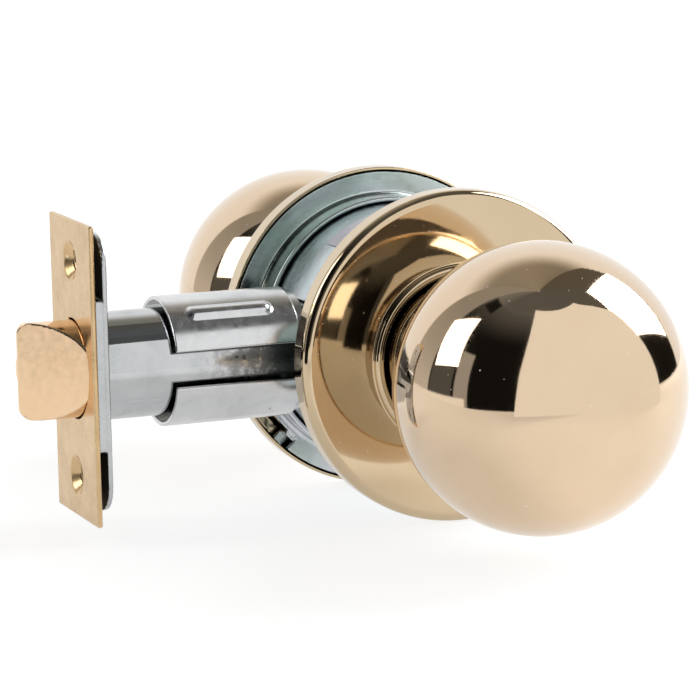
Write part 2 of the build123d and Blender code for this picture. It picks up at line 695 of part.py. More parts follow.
def latch_tail():
    """Flat stirrup from the bolt to the retractor: a tongue, a fork and an ear on each prong."""
    thick = pair(TAIL_T)
    tail = block((FLANGE_BACK, BOSS_BACK), thick, pair(TAIL_TONGUE))
    tail += block((BOSS_BACK, TAIL_END), thick, pair(TAIL_W))
    tail += block((TAIL_END - EAR_T, TAIL_END), thick, pair(EAR_W))
    tail -= block((TAIL_FORK, TAIL_END), thick, pair(TAIL_W - 2 * TAIL_PRONG))
    return tail - tail_pin(RUN_FIT)


def latch_spring():
    """Spring between the bolt's flange and the rear collar."""
    length = TUBE_END - SPIGOT - FLANGE_BACK
    return Pos(FLANGE_BACK, 0, 0) * Rot(0, 90, 0) * coil(LATCH_SPRING_R, LATCH_WIRE, length, LATCH_COILS)


def deadlatch_plunger():
    """Half-round rod that lies along the flat of the bolt."""
    rod = Pos(0, PLUNGER_Y, 0) * bar_x(0, PLUNGER_R, PLUNGER_TIP, PLUNGER_END)
    rod = fillet(rod.edges().sort_by(Axis.X)[0], PLUNGER_NOSE)
    return rod & block((PLUNGER_TIP, PLUNGER_END), (PLUNGER_Y, 2 * BOLT_R), pair(2 * BOLT_R))


def deadlatch_spring():
    """Thin spring between the plunger and the bolt's flange."""
    length = FLANGE_FRONT - PLUNGER_END
    middle = PLUNGER_Y + PLUNGER_R / 2
    spring = Rot(0, 90, 0) * coil(PLUNGER_SPRING_R, PLUNGER_WIRE, length, PLUNGER_COILS)
    return Pos(PLUNGER_END, middle, 0) * spring


def knob_side(side, name):
    """The pieces that are alike on both sides of the door, by node name."""
    makers = {
        "rose": rose,
        "rose_liner": liner,
        "hub": hub,
        "knob": knob_ball,
        "knob_neck": knob_neck,
        "knob_insert": knob_insert,
        "spindle": spindle,
        "retaining_ring": retaining_ring,
        "knob_catch": knob_catch,
        "catch_spring": catch_spring,
    }
    return {f"{name}_{piece}": make(side) for piece, make in makers.items()}


def build():
    """Every node of the lock by name."""
    upper_sleeve = latch_sleeve()
    nodes = knob_side(OUTSIDE, "outside")
    nodes.update(knob_side(INSIDE, "inside"))
    nodes.update(
        chassis_drum=drum(),
        drum_label=drum_label(),
        mounting_screws=mounting_screws(),
        button_bush=button_bush(),
        push_button=push_button(),
        locking_bar=locking_bar(),
        button_spring=button_spring(),
        retractor=retractor(),
        retractor_guides=retractor_guides(),
        retractor_spring_seat=retractor_spring_seat(),
        retractor_springs=retractor_springs(),
        latch_faceplate=latch_faceplate(),
        latch_backing_plate=latch_backing_plate(),
        latch_tube=latch_tube(),
        latch_rear_collar=latch_rear_collar(),
        latch_sleeve_upper=upper_sleeve,
        latch_sleeve_lower=mirror(upper_sleeve, Plane.XY),
        latch_bolt=latch_bolt(),
        latch_tail_pin=tail_pin(),
        latch_tail=latch_tail(),
        latch_spring=latch_spring(),
        deadlatch_plunger=deadlatch_plunger(),
        deadlatch_spring=deadlatch_spring(),
    )
    return nodes


os.makedirs("parts", exist_ok=True)
for node, solid in build().items():
    shape = Compound(solid) if isinstance(solid, list) else solid
    export_step(shape, os.path.join("parts", f"{node}.step"))
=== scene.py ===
import json
import math

import bmesh
import bpy
import numpy as np
from mathutils import Matrix, Vector


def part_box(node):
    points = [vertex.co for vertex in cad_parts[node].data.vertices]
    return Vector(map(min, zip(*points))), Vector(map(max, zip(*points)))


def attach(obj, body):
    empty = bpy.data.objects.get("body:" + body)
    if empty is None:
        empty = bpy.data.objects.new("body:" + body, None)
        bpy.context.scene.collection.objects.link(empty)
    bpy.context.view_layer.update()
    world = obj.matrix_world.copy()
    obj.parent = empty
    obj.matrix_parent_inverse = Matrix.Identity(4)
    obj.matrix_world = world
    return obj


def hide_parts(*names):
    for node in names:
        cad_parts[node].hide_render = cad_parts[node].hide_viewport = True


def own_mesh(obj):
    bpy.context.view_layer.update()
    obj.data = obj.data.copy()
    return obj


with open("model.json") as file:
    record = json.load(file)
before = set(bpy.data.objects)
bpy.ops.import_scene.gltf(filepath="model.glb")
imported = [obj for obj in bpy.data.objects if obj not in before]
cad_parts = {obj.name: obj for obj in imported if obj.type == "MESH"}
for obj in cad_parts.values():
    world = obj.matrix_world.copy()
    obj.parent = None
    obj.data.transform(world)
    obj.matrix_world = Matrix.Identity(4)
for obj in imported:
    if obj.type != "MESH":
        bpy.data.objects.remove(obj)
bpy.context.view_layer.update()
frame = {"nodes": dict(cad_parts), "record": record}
scene = bpy.context.scene
scene.view_settings.view_transform = "Standard"

# The object's sizes are in millimetres, and MM turns them into metres. The stage's are in metres.
MM = 0.001
OUTSIDE = -1
INSIDE = 1


def limits(node):
    """Lowest and highest corner of a CAD node in millimetres."""
    return [[v / MM for v in corner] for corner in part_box(node)]


# Sizes read from the frame
(_, HALF_DOOR, _), (ROSE_R, COLLAR_TOP, _) = limits("inside_rose")
(_, BALL_FRONT, _), (KNOB_R, BALL_BACK, _) = limits("outside_knob")
KNOB_Y = -BALL_FRONT - KNOB_R
SHOULDER_Y = -BALL_BACK
(_, CRIMP_END, _), (_, NECK_FOOT, _) = limits("outside_knob_neck")
CRIMP_END, NECK_FOOT = -CRIMP_END, -NECK_FOOT
(_, LINER_LOW, _), (LINER_R, _, _) = limits("inside_rose_liner")
(_, _, _), (DRUM_R, _, _) = limits("chassis_drum")
(_, LABEL_START, _), (_, LABEL_END, LABEL_R) = limits("drum_label")
(TUBE_FRONT, _, _), (TUBE_BACK, TUBE_R, _) = limits("latch_tube")
(SLEEVE_FRONT, _, _), (SLEEVE_BACK, _, _) = limits("latch_sleeve_upper")
(PLATE_FRONT, _, _), (_, PLATE_HALF_W, PLATE_HALF_H) = limits("latch_faceplate")
(BACK_FRONT, _, _), (BACK_BACK, BACK_HALF_W, BACK_HALF_H) = limits("latch_backing_plate")
(BOLT_TIP, _, _), (BOLT_END, _, BOLT_R) = limits("latch_bolt")
(PLUNGER_TIP, PLUNGER_Y, _), (PLUNGER_END, _, PLUNGER_R) = limits("deadlatch_plunger")
(_, BUTTON_FOOT, _), (BUTTON_R, BUTTON_TOP, _) = limits("push_button")
(_, BUSH_FOOT, _), (BUSH_R, BUSH_TOP, _) = limits("button_bush")

# Sizes that a box doesn't show
ROSE_WALL = 0.5
ROSE_EDGE = 1.8
COLLAR_R = 17.9
COLLAR_RISE = 1.4
NECK_R = 15.6
NECK_GAP = 0.4
NECK_WALL = 0.8
COVE = 11.5
KNOB_WALL = 1.0
LIP = 0.45
POKE_R = 1.6
POKE_Y = 36.0
POKE_DEPTH = 2
PILOT_R = 26.7
PILOT_W = 1.0
LINER_T = 1.2
LINER_SCREW_Z = 21.6
LINER_SCREW_R = 2.05
HUB_R = 11.05
TAB_ANGLES = (40.5, 220.5)
NOTCH_W = 9.0
NOTCH_DEPTH = 3.0
TAB_SIDES = (1.8, 4.2)
TAB_T = 0.8
TAB_H = 3.6
DRUM_WALL = 1.2
WINDOW_W = 22.0
WINDOW_H = 19.2
LABEL_T = 0.15
LABEL_ANGLES = (66.0, 130.0)
TUBE_WALL = 0.7
SLEEVE_R = 12.5
SLEEVE_WALL = 0.8
SLEEVE_SLOT = 7.0
BEAD_R = 1.9
BEAD_RISE = 0.75
BEAD_ANGLE = 53.0
BEAD_INSETS = (3.3, 4.3)
PLATE_T = 1.0
PLATE_SCREW_Z = 20.6375
PLATE_HOLE_R = 2.4
DISH_R = 3.9
DISH_DEPTH = 1.9
BACK_T = 1.0
BACK_CORNER = 6.0
BACK_BOX = (11.95, 14.5)
BOLT_FLAT = 2.0
BOLT_CORNER = 2.8
CORNER_SPREAD = 0.3
BEVEL_TIP = 1.6
BEVEL_FOOT = -7.9
FLANGE_T = 1.5
BOSS_R = 6.5
BOSS_L = 5.5
TAIL_SLOT = (1.55, 4.05)
TAIL_PIN_R = 1.25
SLIDE_GAP = 0.3
FIT = 0.05
BUTTON_CROWN = ((2.6, 0.12), (1.3, 0.03), (0, 0))
BUSH_HOLE_R = 2.25
BUSH_FLOOR = 1
LATCH_WIRE = 0.9
LATCH_COILS = 4
RETRACTOR_WIRE = 0.55
RETRACTOR_COILS = 4
PLUNGER_WIRE = 0.4
PLUNGER_COILS = 6
BUTTON_WIRE = 0.5
BUTTON_COILS = 4
CATCH_SPRING_T = 0.6
WIRE_PLAY = 0.02
FACE = COLLAR_TOP - COLLAR_RISE
KNOB_LIP_R = math.sqrt(KNOB_R**2 - (KNOB_Y - SHOULDER_Y) ** 2) - LIP
SEAM_Y = SHOULDER_Y + KNOB_WALL

# Rounding of the edges of pressed and cast pieces, and how far their united parts reach into each other
FINE_EDGE = 0.1
SHEET_EDGE = 0.15
EDGE = 0.2
OVERLAP = 0.5

# Fineness of the meshes: the angle in degrees over which an edge stays sharp, the parts of a turn,
# and how often a field's points are moved on to its zero
SHARP = 35.0
WIRE_SHARP = 40.0
SEGMENTS = 224
BUTTON_SEGMENTS = 96
POKE_SEGMENTS = 32
SETTLING_STEPS = 5
TINY = 1e-6

# Meshes


def new_object(name, data):
    obj = bpy.data.objects.new(name, data)
    scene.collection.objects.link(obj)
    return obj


def smoothed(mesh, sharp):
    mesh.shade_smooth()
    mesh.set_sharp_from_angle(angle=math.radians(sharp))


def built(name, bm):
    """Mesh from a finished bmesh."""
    mesh = bpy.data.meshes.new(name)
    bm.to_mesh(mesh)
    bm.free()
    return mesh


def applied(obj):
    """Replaces an object's mesh with the one that its modifiers make."""
    graph = bpy.context.evaluated_depsgraph_get()
    mesh = bpy.data.meshes.new_from_object(obj.evaluated_get(graph))
    obj.modifiers.clear()
    obj.data = mesh


def arc(centre, radius, start, end, steps):
    """Points of an arc, angles in degrees from the first axis to the second."""
    angles = [math.radians(start + (end - start) * i / steps) for i in range(steps + 1)]
    return [(centre[0] + radius * math.cos(a), centre[1] + radius * math.sin(a)) for a in angles]


def unit(angle):
    """Cosine and sine of an angle in degrees."""
    return math.cos(math.radians(angle)), math.sin(math.radians(angle))


def run(a, b, steps):
    """Points from a to b that crowd towards both ends, so that shading stays flat between them."""
    out = []
    for i in range(steps + 1):
        t = (1 - math.cos(math.pi * i / steps)) / 2
        out.append((a[0] + (b[0] - a[0]) * t, a[1] + (b[1] - a[1]) * t))
    return out


def lathe(name, outline, axis="Y", side=INSIDE, segments=SEGMENTS):
    """Solid turned from a closed outline of (radius, place along the axis)."""
    points = [p for i, p in enumerate(outline) if math.dist(p, outline[i - 1]) > TINY]
    bm = bmesh.new()
    rings = []
    for radius, along in points:
        count = 1 if radius < TINY else segments
        ring = []
        for i in range(count):
            t = 2 * math.pi * i / segments
            u, v = radius * math.cos(t), radius * math.sin(t)
            co = (u, side * along, v) if axis == "Y" else (along, u, v)
            ring.append(bm.verts.new(Vector(co) * MM))
        rings.append(ring)
    for k, ring in enumerate(rings):
        above = rings[(k + 1) % len(rings)]
        if len(ring) == 1 and len(above) == 1:
            continue
        for i in range(segments):
            j = (i + 1) % segments
            corners = [ring[i % len(ring)], ring[j % len(ring)]]
            corners += [above[j % len(above)], above[i % len(above)]]
            bm.faces.new(list(dict.fromkeys(corners)))
    bmesh.ops.recalc_face_normals(bm, faces=bm.faces)
    mesh = built(name, bm)
    smoothed(mesh, SHARP)
    return new_object(name, mesh)


def slope(field, points, step=0.01):
    """Gradient of a field at points."""
    out = np.empty_like(points)
    for k in range(3):
        shift = np.zeros(3)
        shift[k] = step
        out[:, k] = (field(*(points + shift).T) - field(*(points - shift).T)) / (2 * step)
    return out


def net(name, field, low, high, cell):
    """Closed mesh of the surface where a distance field is zero, with the field's own normals."""
    axes = [np.arange(a - 1.5 * cell, b + 2.5 * cell, cell) for a, b in zip(low, high)]
    value = field(*np.meshgrid(*axes, indexing="ij"))
    shape = np.array(value.shape) - 1
    counts = np.zeros(shape, int)
    place = np.zeros((*shape, 3))
    crossings = []
    for k in range(3):
        i, j = [a for a in range(3) if a != k]
        first = [slice(None)] * 3
        second = [slice(None)] * 3
        first[k], second[k] = slice(None, -1), slice(1, None)
        a, b = value[tuple(first)], value[tuple(second)]
        at = np.argwhere((a < 0) != (b < 0))
        va, vb = a[tuple(at.T)], b[tuple(at.T)]
        where = at.astype(float)
        where[:, k] += va / (va - vb)
        inner = (at[:, i] > 0) & (at[:, i] < shape[i]) & (at[:, j] > 0) & (at[:, j] < shape[j])
        at, where, inside = at[inner], where[inner], (va < 0)[inner]
        cells = []
        for di, dj in ((-1, -1), (0, -1), (0, 0), (-1, 0)):
            cell_at = at.copy()
            cell_at[:, i] += di
            cell_at[:, j] += dj
            cells.append(cell_at)
            np.add.at(counts, tuple(cell_at.T), 1)
            np.add.at(place, tuple(cell_at.T), where)
        crossings.append((cells, inside if k != 1 else ~inside))
    active = np.argwhere(counts > 0)
    index = np.full(shape, -1)
    index[tuple(active.T)] = np.arange(len(active))
    points = place[tuple(active.T)] / counts[tuple(active.T)][:, None] * cell
    points += np.array([a[0] for a in axes])
    for _ in range(SETTLING_STEPS):
        g = slope(field, points)
        f = field(*points.T)
        step = g * (f / np.maximum((g**2).sum(1), TINY))[:, None]
        points -= np.clip(step, -cell / 2, cell / 2)
    quads = []
    for cells, outward in crossings:
        faces = np.stack([index[tuple(c.T)] for c in cells], axis=1)
        quads.append(np.where(outward[:, None], faces, faces[:, ::-1]))
    mesh = bpy.data.meshes.new(name)
    mesh.from_pydata((points * MM).tolist(), [], np.concatenate(quads).tolist())
    mesh.shade_smooth()
    normals = slope(field, points)
    normals /= np.maximum(np.linalg.norm(normals, axis=1), 1e-9)[:, None]
    mesh.normals_split_custom_set_from_vertices(normals.tolist())
    return new_object(name, mesh)


def both(a, b, r):
    """Where two fields overlap, with the outer edge rounded."""
    return np.minimum(-r, np.maximum(a, b)) + np.hypot(np.maximum(r + a, 0), np.maximum(r + b, 0))


def joined(a, b, r):
    """Two fields together, with the inner corner filled."""
    return np.maximum(r, np.minimum(a, b)) - np.hypot(np.maximum(r - a, 0), np.maximum(r - b, 0))


def less(a, b, r):
    """The first field without the second, with the outer edge rounded."""
    return both(a, -b, r)


def slab(u, low, high):
    """Field of the layer between two planes."""
    return np.abs(u - (low + high) / 2) - (high - low) / 2


def rectangle(u, v, half_u, half_v, r):
    """Field of a bar whose section is a rectangle with rounded corners."""
    qu, qv = np.abs(u) - half_u + r, np.abs(v) - half_v + r
    return np.hypot(np.maximum(qu, 0), np.maximum(qv, 0)) + np.minimum(np.maximum(qu, qv), 0) - r


def cut_with(obj, tool):
    """Takes a tool object out of an object's mesh, and removes the tool."""
    bpy.context.view_layer.update()
    cut = obj.modifiers.new("cut", "BOOLEAN")
    cut.object = tool
    cut.solver = "EXACT"
    applied(obj)
    bpy.data.objects.remove(tool)


# Pieces turned about the knob axis


def rose_outline():
    hole = NECK_R + NECK_GAP
    bead = (COLLAR_R - hole) / 2
    bead_y = COLLAR_TOP - bead
    rim, rim_y = ROSE_R - ROSE_EDGE, FACE - ROSE_EDGE
    foot = 0.35
    lip = 0.2
    points = arc((ROSE_R - lip, HALF_DOOR + lip), lip, -90, 0, 4)
    points += run((ROSE_R, HALF_DOOR + lip), (ROSE_R, rim_y), 8)
    points += arc((rim, rim_y), ROSE_EDGE, 0, 90, 20)
    points += run((rim, FACE), (COLLAR_R + foot, FACE), 24)
    points += arc((COLLAR_R + foot, FACE + foot), foot, 270, 180, 6)
    points += arc((hole + bead, bead_y), bead, 0, 180, 24)
    points += run((hole, bead_y), (hole, FACE - ROSE_WALL), 3)
    points += run((hole, FACE - ROSE_WALL), (rim, FACE - ROSE_WALL), 4)
    points += arc((rim, rim_y), ROSE_EDGE - ROSE_WALL, 90, 0, 8)
    points += run((ROSE_R - ROSE_WALL, rim_y), (ROSE_R - ROSE_WALL, HALF_DOOR), 3)
    return points


def ball_outline(pierced):
    """Hollow ball, open to the neck and pierced in front by a hole of the given radius."""
    edge = 0.6
    depth = KNOB_Y - SHOULDER_Y - edge
    edge_r = math.sqrt((KNOB_R - edge) ** 2 - depth**2)
    turn = math.degrees(math.atan2(depth, edge_r))
    bore = KNOB_R - KNOB_WALL
    seam_turn = math.degrees(math.asin((KNOB_Y - SEAM_Y) / bore))
    start = math.degrees(math.acos(pierced / KNOB_R))
    start_in = math.degrees(math.acos(pierced / bore))
    points = arc((0, KNOB_Y), KNOB_R, start, -turn, 120)
    points += arc((edge_r, SHOULDER_Y + edge), edge, -turn, -90, 10)
    points += run((edge_r, SHOULDER_Y), (KNOB_LIP_R, SHOULDER_Y), 4)
    points += run((KNOB_LIP_R, SHOULDER_Y), (KNOB_LIP_R, SEAM_Y), 2)
    points += arc((0, KNOB_Y), bore, -seam_turn, start_in, 32)
    return [(max(r, 0), y) for r, y in points]


def neck_outline():
    """Tube that flares into the ball's lip and is crimped behind it."""
    lip_r = KNOB_LIP_R - FIT
    rim = math.sqrt((KNOB_R - KNOB_WALL) ** 2 - (KNOB_Y - SEAM_Y) ** 2) - FIT
    flare = SHOULDER_Y - COVE

    def cove(start, end, rise):
        reach = end - start
        radius = (reach**2 + rise**2) / (2 * reach)
        turn = math.degrees(math.asin(rise / radius))
        return arc((start + radius, flare), radius, 180, 180 - turn, 24)

    inner = lip_r - NECK_WALL
    points = run((NECK_R, NECK_FOOT), (NECK_R, flare), 12)
    points += cove(NECK_R, lip_r, COVE)
    points += [(lip_r, SEAM_Y), (rim, SEAM_Y), (rim, CRIMP_END), (inner, CRIMP_END)]
    points += cove(NECK_R - NECK_WALL, inner, COVE + NECK_WALL)[::-1]
    points += run((NECK_R - NECK_WALL, flare), (NECK_R - NECK_WALL, NECK_FOOT), 4)
    return points


def neck(name, side):
    """Neck with the pin hole under it, through which the catch is pushed in."""
    obj = lathe(name, neck_outline(), side=side)
    rod = [(0, -POKE_DEPTH), (POKE_R, -POKE_DEPTH), (POKE_R, POKE_DEPTH), (0, POKE_DEPTH)]
    poke = lathe("poke", rod, segments=POKE_SEGMENTS)
    below = Matrix.Translation((0, side * POKE_Y * MM, -NECK_R * MM))
    poke.matrix_world = below @ Matrix.Rotation(math.pi / 2, 4, "X")
    cut_with(obj, poke)
    obj.data.set_sharp_from_angle(angle=math.radians(SHARP))
    return obj


def button_outline():
    edge = 1.0
    crown = 0.25
    points = [(0, BUTTON_FOOT), (BUTTON_R, BUTTON_FOOT)]
    points += run((BUTTON_R, BUTTON_FOOT), (BUTTON_R, BUTTON_TOP - crown - edge), 6)
    points += arc((BUTTON_R - edge, BUTTON_TOP - crown - edge), edge, 0, 80, 12)
    points += [(r, BUTTON_TOP - drop) for r, drop in BUTTON_CROWN]
    return points


def bush_outline():
    bore = BUTTON_R + FIT
    edge = 0.3
    floor = BUSH_FOOT + BUSH_FLOOR
    points = [(BUSH_HOLE_R, BUSH_FOOT), (BUSH_R, BUSH_FOOT)]
    points += run((BUSH_R, BUSH_FOOT), (BUSH_R, BUSH_TOP - edge), 6)
    points += arc((BUSH_R - edge, BUSH_TOP - edge), edge, 0, 90, 6)
    points += [(bore, BUSH_TOP), (bore, floor), (BUSH_HOLE_R, floor)]
    return points


def tube_outline():
    edge = 0.15
    bore = TUBE_R - TUBE_WALL
    points = arc((TUBE_R - edge, TUBE_BACK - edge), edge, 90, 0, 4)
    points += run((TUBE_R, TUBE_BACK - edge), (TUBE_R, TUBE_FRONT), 12)
    points += run((bore, TUBE_FRONT), (bore, TUBE_BACK), 4)
    return points


def curved_sheet(name, radius, thickness, angles, places, is_open=None):
    """Sheet bent about the knob axis, thickened inwards; is_open tells which of its cells are left out."""
    closed = abs(angles[-1] - angles[0] - 360) < TINY
    turns = [math.radians(a) for a in (angles[:-1] if closed else angles)]
    bm = bmesh.new()
    rows = []
    for t in turns:
        x, z = radius * math.cos(t), radius * math.sin(t)
        rows.append([bm.verts.new(Vector((x, y, z)) * MM) for y in places])
    for i in range(len(angles) - 1):
        first, second = rows[i], rows[(i + 1) % len(rows)]
        middle = math.radians((angles[i] + angles[i + 1]) / 2)
        for j in range(len(places) - 1):
            if is_open and is_open(middle, (places[j] + places[j + 1]) / 2):
                continue
            bm.faces.new([first[j], first[j + 1], second[j + 1], second[j]])
    bmesh.ops.delete(bm, geom=[v for v in bm.verts if not v.link_faces], context="VERTS")
    mesh = built(name, bm)
    mesh.shade_smooth()
    obj = new_object(name, mesh)
    shell = obj.modifiers.new("wall", "SOLIDIFY")
    shell.thickness = thickness * MM
    shell.offset = -1
    applied(obj)
    smoothed(obj.data, SHARP)
    return obj


def drum(name):
    """Chassis shell with the window that takes the latch's tail and prongs."""
    half = math.degrees(math.asin(WINDOW_H / 2 / DRUM_R))
    window_steps, shell_steps = 16, 180
    end, middle = 0.4, 5
    angles = [180 - half + 2 * half * i / window_steps for i in range(window_steps + 1)]
    angles += [180 + half + (360 - 2 * half) * i / shell_steps for i in range(1, shell_steps + 1)]
    places = [-HALF_DOOR, end - HALF_DOOR, -WINDOW_W / 2, -middle, 0]
    places += [middle, WINDOW_W / 2, HALF_DOOR - end, HALF_DOOR]

    def is_open(turn, y):
        low = abs(DRUM_R * math.sin(turn)) < WINDOW_H / 2
        return math.cos(turn) < 0 and low and abs(y) < WINDOW_W / 2

    return curved_sheet(name, DRUM_R, DRUM_WALL, angles, places, is_open)


def drum_label(name):
    first, last = LABEL_ANGLES
    round_steps, long_steps = 48, 6
    angles = [first + (last - first) * i / round_steps for i in range(round_steps + 1)]
    places = [LABEL_START + (LABEL_END - LABEL_START) * i / long_steps for i in range(long_steps + 1)]
    return curved_sheet(name, LABEL_R, LABEL_T, angles, places)


# Springs


def swept(name, strands, closed=False):
    """Bars swept along paths; a strand holds the rings of points that its outline takes along its path."""
    bm = bmesh.new()
    for strand in strands:
        rings = [[bm.verts.new(Vector(p) * MM) for p in ring] for ring in strand]
        count = len(rings[0])
        for k in range(len(rings) if closed else len(rings) - 1):
            first, second = rings[k], rings[(k + 1) % len(rings)]
            for i in range(count):
                j = (i + 1) % count
                bm.faces.new([first[i], first[j], second[j], second[i]])
        if not closed:
            bm.faces.new(rings[0])
            bm.faces.new(rings[-1])
    bmesh.ops.recalc_face_normals(bm, faces=bm.faces)
    mesh = built(name, bm)
    smoothed(mesh, WIRE_SHARP)
    return new_object(name, mesh)


def helix(low, high, axis, wire, coils, sides=12, steps=40):
    """Strand of a round-wire spring that fills a box along one of its axes."""
    k = "XYZ".index(axis)
    i, j = [a for a in range(3) if a != k]
    thick = wire / 2 - WIRE_PLAY
    centre = [(a + b) / 2 for a, b in zip(low, high)]
    radius = (high[i] - low[i] + high[j] - low[j]) / 4 - wire / 2
    start, rise = low[k] + wire / 2, high[k] - low[k] - wire
    strand = []
    for step in range(coils * steps + 1):
        t = 2 * math.pi * step / steps
        ring = []
        for s in range(sides):
            a = 2 * math.pi * s / sides
            r = radius + thick * math.cos(a)
            point = [0.0, 0.0, 0.0]
            point[i] = centre[i] + r * math.cos(t)
            point[j] = centre[j] + r * math.sin(t)
            point[k] = start + rise * step / (coils * steps) + thick * math.sin(a)
            ring.append(point)
        strand.append(ring)
    return strand


def oval_band(low, high, thickness, steps=96):
    """Strand of a flat strip bent to an oval that stands in the XZ plane."""
    edge = 0.12
    half_w, half_h = (high[0] - low[0]) / 2, (high[2] - low[2]) / 2
    across, up = (high[0] + low[0]) / 2, (high[2] + low[2]) / 2
    front, back = low[1] + WIRE_PLAY, high[1] - WIRE_PLAY
    outline = [(WIRE_PLAY, front + edge), (WIRE_PLAY + edge, front), (thickness - edge, front)]
    outline += [(thickness, front + edge), (thickness, back - edge), (thickness - edge, back)]
    outline += [(WIRE_PLAY + edge, back), (WIRE_PLAY, back - edge)]
    strand = []
    for step in range(steps):
        t = 2 * math.pi * step / steps
        c, s = math.cos(t), math.sin(t)
        ring = [(across + (half_w - inset) * c, y, up + (half_h - inset) * s) for inset, y in outline]
        strand.append(ring)
    return strand


# Pieces made from distance fields


def liner(name, side, cell):
    """Plate behind a rose: pilot ridge towards the door, notches with bent tabs, and two screw holes."""
    top = HALF_DOOR + LINER_T
    root = LINER_R - NOTCH_DEPTH
    tip = HALF_DOOR + TAB_H
    play = 0.1
    reach = math.sqrt((ROSE_R - ROSE_WALL - play) ** 2 - TAB_SIDES[1] ** 2)
    rim_edge, ridge_edge, ridge_fillet = 0.25, 0.45, 0.7
    notch_corner, outwards = 0.6, 10

    def field(x, y, z):
        away = side * y
        r = np.hypot(x, z)
        body = both(slab(away, HALF_DOOR, top), slab(r, HUB_R, LINER_R), rim_edge)
        across = r - PILOT_R + PILOT_W / 2
        ridge = rectangle(across, away - HALF_DOOR, PILOT_W / 2, HALF_DOOR - LINER_LOW, ridge_edge)
        body = joined(body, both(ridge, away - top, FINE_EDGE), ridge_fillet)
        for angle in TAB_ANGLES:
            c, s = unit(angle)
            u, v = x * c + z * s, z * c - x * s
            notch = rectangle(u - root - outwards, v, outwards, NOTCH_W / 2, notch_corner)
            body = less(body, notch, EDGE)
            stem = both(slab(u, root, root + TAB_T), slab(away, HALF_DOOR, tip), SHEET_EDGE)
            hook = both(slab(u, root, reach), slab(away, tip - TAB_T, tip), SHEET_EDGE)
            tab = both(np.minimum(stem, hook), slab(v, *TAB_SIDES), SHEET_EDGE)
            body = np.minimum(body, tab)
        for height in (-LINER_SCREW_Z, LINER_SCREW_Z):
            body = less(body, np.hypot(x, z - height) - LINER_SCREW_R, SHEET_EDGE)
        return body

    ends = sorted((side * LINER_LOW, side * tip))
    return net(name, field, (-LINER_R, ends[0], -LINER_R), (LINER_R, ends[1], LINER_R), cell)


def sleeve(name, sign, cell):
    """Half of the latch's sleeve with its two beads; sign tells whether it is above or below."""
    bore = SLEEVE_R - SLEEVE_WALL
    half_slot = math.asin(SLEEVE_SLOT / 2 / SLEEVE_R)
    front = SLEEVE_FRONT + BEAD_INSETS[0] + BEAD_R
    back = SLEEVE_BACK - BEAD_INSETS[1] - BEAD_R
    centre = SLEEVE_R + BEAD_RISE - BEAD_R
    bead_fillet = 0.4

    def field(x, y, z):
        up = sign * z
        r = np.hypot(y, up)
        shell = r - SLEEVE_R
        along = x - np.clip(x, front, back)
        for angle in (BEAD_ANGLE, 180 - BEAD_ANGLE):
            c, s = unit(angle)
            bead = np.sqrt(along**2 + (y - centre * c) ** 2 + (up - centre * s) ** 2) - BEAD_R
            shell = joined(shell, bead, bead_fillet)
        shell = both(shell, bore - r, SHEET_EDGE)
        shell = both(shell, slab(x, SLEEVE_FRONT, SLEEVE_BACK), EDGE)
        return both(shell, np.abs(y) * math.sin(half_slot) - up * math.cos(half_slot), EDGE)

    lowest, highest = 2.0, SLEEVE_R + 1
    z = sorted((sign * lowest, sign * highest))
    return net(name, field, (SLEEVE_FRONT, -highest, z[0]), (SLEEVE_BACK, highest, z[1]), cell)


def bolt_section(y, z, grow):
    """Field of the opening for the bolt and the plunger, wider than them by grow."""
    nose = np.maximum(np.hypot(y, z) - BOLT_R - grow, y - BOLT_FLAT - grow)
    return np.minimum(nose, np.hypot(y - PLUNGER_Y, z) - PLUNGER_R - grow)


def faceplate(name, cell):
    """Plate with the bolt's opening and two dished screw holes, whose cups stand out behind."""
    back = PLATE_FRONT + PLATE_T
    slant = DISH_DEPTH - PLATE_T / 2
    lean = (DISH_R - PLATE_HOLE_R) / slant
    square = 1 / math.hypot(1, lean)
    corner, rim_edge, cup_fillet = 0.35, 0.3, 0.3
    cup_start, cup_lean, cup_square = 0.5, 0.6, 0.85

    def field(x, y, z):
        outline = rectangle(y, z, PLATE_HALF_W, PLATE_HALF_H, corner)
        body = both(slab(x, PLATE_FRONT, back), outline, rim_edge)
        depth = x - PLATE_FRONT
        for height in (-PLATE_SCREW_Z, PLATE_SCREW_Z):
            q = np.hypot(y, z - height)
            cone = (q - DISH_R - (PLATE_T - depth) * cup_lean) * cup_square
            cup = both(cone, slab(depth, cup_start, DISH_DEPTH), EDGE)
            body = joined(body, cup, cup_fillet)
            dish = np.minimum((q - DISH_R + depth * lean) * square, q - PLATE_HOLE_R)
            body = less(body, dish, SHEET_EDGE)
        return less(body, bolt_section(y, z, SLIDE_GAP), EDGE)

    low = (PLATE_FRONT, -PLATE_HALF_W, -PLATE_HALF_H)
    return net(name, field, low, (PLATE_FRONT + DISH_DEPTH, PLATE_HALF_W, PLATE_HALF_H), cell)


def backing_plate(name, cell):
    """Plate behind the faceplate, with the box that holds the tube."""
    back_start = BACK_BACK - BACK_T
    box_corner, box_fillet = 0.6, 0.25

    def field(x, y, z):
        outline = rectangle(y, z, BACK_HALF_W, BACK_HALF_H, BACK_CORNER)
        plate = both(slab(x, back_start, BACK_BACK), outline, EDGE)
        layer = slab(x, BACK_FRONT, back_start + OVERLAP)
        block = both(layer, rectangle(y, z, *BACK_BOX, box_corner), SHEET_EDGE)
        body = joined(plate, block, box_fillet)
        body = less(body, np.hypot(y, z) - TUBE_R - FIT, FINE_EDGE)
        for height in (-PLATE_SCREW_Z, PLATE_SCREW_Z):
            body = less(body, np.hypot(y, z - height) - PLATE_HOLE_R, SHEET_EDGE)
        return body

    low = (BACK_FRONT, -BACK_HALF_W, -BACK_HALF_H)
    return net(name, field, low, (BACK_BACK, BACK_HALF_W, BACK_HALF_H), cell)


